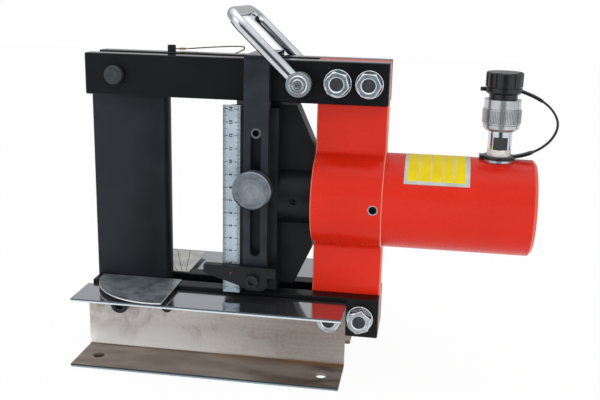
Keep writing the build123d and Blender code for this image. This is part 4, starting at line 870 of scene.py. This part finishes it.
bmesh.ops.create_cube(work, size=1.0)
earLength = strap["earReach"] - inner - strap["earGap"]
earHeight = highZ - lowZ - 2 * strap["earInset"]
for v in work.verts:
    v.co = Vector((strap["axis"] - strap["earReach"] + (v.co.x + 0.5) * earLength, v.co.y * strap["earWidth"],
                   lowZ + strap["earInset"] + (v.co.z + 0.5) * earHeight)) * mm
bmesh.ops.bevel(work, geom=work.edges[:], offset=strap["earEase"] * mm, segments=2, affect="EDGES", profile=0.5)
earMesh = meshOf(work)
strapMesh = joinedMesh([bandMesh, ringMesh, earMesh])
strapPiece = addPiece("capStrap", strapMesh, [mouldedRubber], "cap_strap", smooth=40, rides=False)
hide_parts("cap_strap")
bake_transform(strapPiece)
print("strap made")


def seenRays(add):
    # camera rays alone, then with the glossy and transmission rays, which all see the white surround
    rays = add("LightPath").outputs
    seen = add("Math", (rays["Is Camera Ray"], rays["Is Glossy Ray"]), operation="MAXIMUM")
    return rays["Is Camera Ray"], add("Math", (seen, rays["Is Transmission Ray"]), operation="MAXIMUM")


# studio: pale floor, white surround behind, at the sides and above, dim room in front of the object
room = {"ambient": 0.8, "front": 0.09, "behind": 0.5, "behindY": (-0.4, 0.25), "besideX": (0.2, 0.42),
        "aboveZ": (0.3, 0.7), "white": (1, 1, 1, 1)}
world = bpy.data.worlds.new("studio")
world.use_nodes = True
world.node_tree.nodes.clear()
add = partial(addNode, world.node_tree)
cameraRay, seenAny = seenRays(add)
x, y, z = add("SeparateXYZ", {"Vector": add("TexCoord").outputs["Generated"]}).outputs
across = add("Math", (x,), operation="ABSOLUTE")
behind, beside, above = [add("MapRange", {"Value": value, fromSpan: room[key]})
                         for key, value in (("behindY", y), ("besideX", across), ("aboveZ", z))]
screen = add("Math", (behind, room["behind"]), operation="MULTIPLY")
ahead = add("Math", (1.0, behind), operation="SUBTRACT")
wings = add("Math", (beside, ahead), operation="MULTIPLY")
bright = screen
for part in (wings, above, cameraRay):
    bright = add("Math", (bright, part), operation="MAXIMUM")
dim = (room["front"], room["front"], room["front"], 1)
surround = add("Mix", {"Factor": bright, "A": dim, "B": room["white"]}, data_type="RGBA")
ambient = add("Background", {"Color": room["white"], "Strength": room["ambient"]})
backdrop = add("Background", {"Color": surround})
add("OutputWorld", {"Surface": add("MixShader", (seenAny, ambient, backdrop))})
scene.world = world

# paper floor, which ends a little in front of the object; its white stops under the machine, and a painted
# shadow darkens it there, so that the foot holes show shade
table = {"half": 3.0, "front": -0.36, "top": -0.0005, "rough": 0.9, "fibre": 3, "tint": ("#f2f2f2", "#4d4640"),
         "glow": (0.95, 0.0), "shadeX": (85, 97), "shadeY": (50, 63), "middle": (-10, 0)}
floorMaterial, add = newMaterial("palePaperFloor", {"Roughness": table["rough"]})
fibre = add("TexNoise", {"Scale": perMetre(table["fibre"])})
_, seenAny = seenRays(add)
place = add("SeparateXYZ").outputs
under = []
for socket, middle, span in zip(place, table["middle"], (table["shadeX"], table["shadeY"])):
    aside = add("Math", (socket, middle * mm), operation="SUBTRACT")
    apart = add("Math", (aside,), operation="ABSOLUTE")
    under.append(add("MapRange", {"Value": apart, fromSpan: metres(span), toSpan: falling}))
covered = add("Math", (under[0], under[1]), operation="MULTIPLY")
# painted shadow: a dark brown under the machine
paperAndPaintedShadow = add("Mix", {"Factor": covered, bothTints: table["tint"]}, data_type="RGBA")
dressed(floorMaterial, {"Base Color": paperAndPaintedShadow}, fibre, strength=0.05, depth=0.05)
glow = add("MapRange", {"Value": covered, toSpan: table["glow"]})
share = add("Math", (seenAny, glow), operation="MULTIPLY")
white = add("Emission", {"Color": room["white"]})
tree = floorMaterial.node_tree
floorMix = add("MixShader", (share, tree.nodes["Principled BSDF"], white))
feed(tree, tree.nodes["Material Output"], {"Surface": floorMix})
half, edge, top = table["half"], table["front"], table["top"]
floorMesh = newMesh("paleFloor")
floorMesh.from_pydata([(-half, edge, top), (half, edge, top), (half, half, top), (-half, half, top)],
                      [], [(0, 1, 2, 3)])
floorMesh.materials.append(floorMaterial)
floor = newObject("paleFloor", floorMesh)
link(floor)
floor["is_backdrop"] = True

lamps = {
    "keyLeft": {"place": (-0.65, -0.85, 0.95), "size": 0.7, "power": 1.8, "gloss": True},
    "fillRight": {"place": (0.95, -0.75, 0.6), "size": 0.8, "power": 0.6, "gloss": True},
    "fillFront": {"place": (0.15, -1.3, 0.12), "size": 1.0, "power": 6.0, "gloss": False},
    "topSoft": {"place": (0.1, 0.15, 1.2), "size": 1.0, "power": 2.2, "gloss": True}}
aim = Vector((0.05, 0.0, 0.13))
for name, look in lamps.items():
    lampData = bpy.data.lights.new(name, "AREA")
    lampData.energy = look["power"]
    lampData.size = look["size"]
    lamp = newObject(name, lampData)
    facing = (aim - Vector(look["place"])).to_track_quat("-Z", "Y").to_matrix().to_4x4()
    lamp.matrix_world = Matrix.Translation(look["place"]) @ facing
    lamp.visible_glossy = look["gloss"]
    link(lamp)
print("studio lit")

low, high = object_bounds()
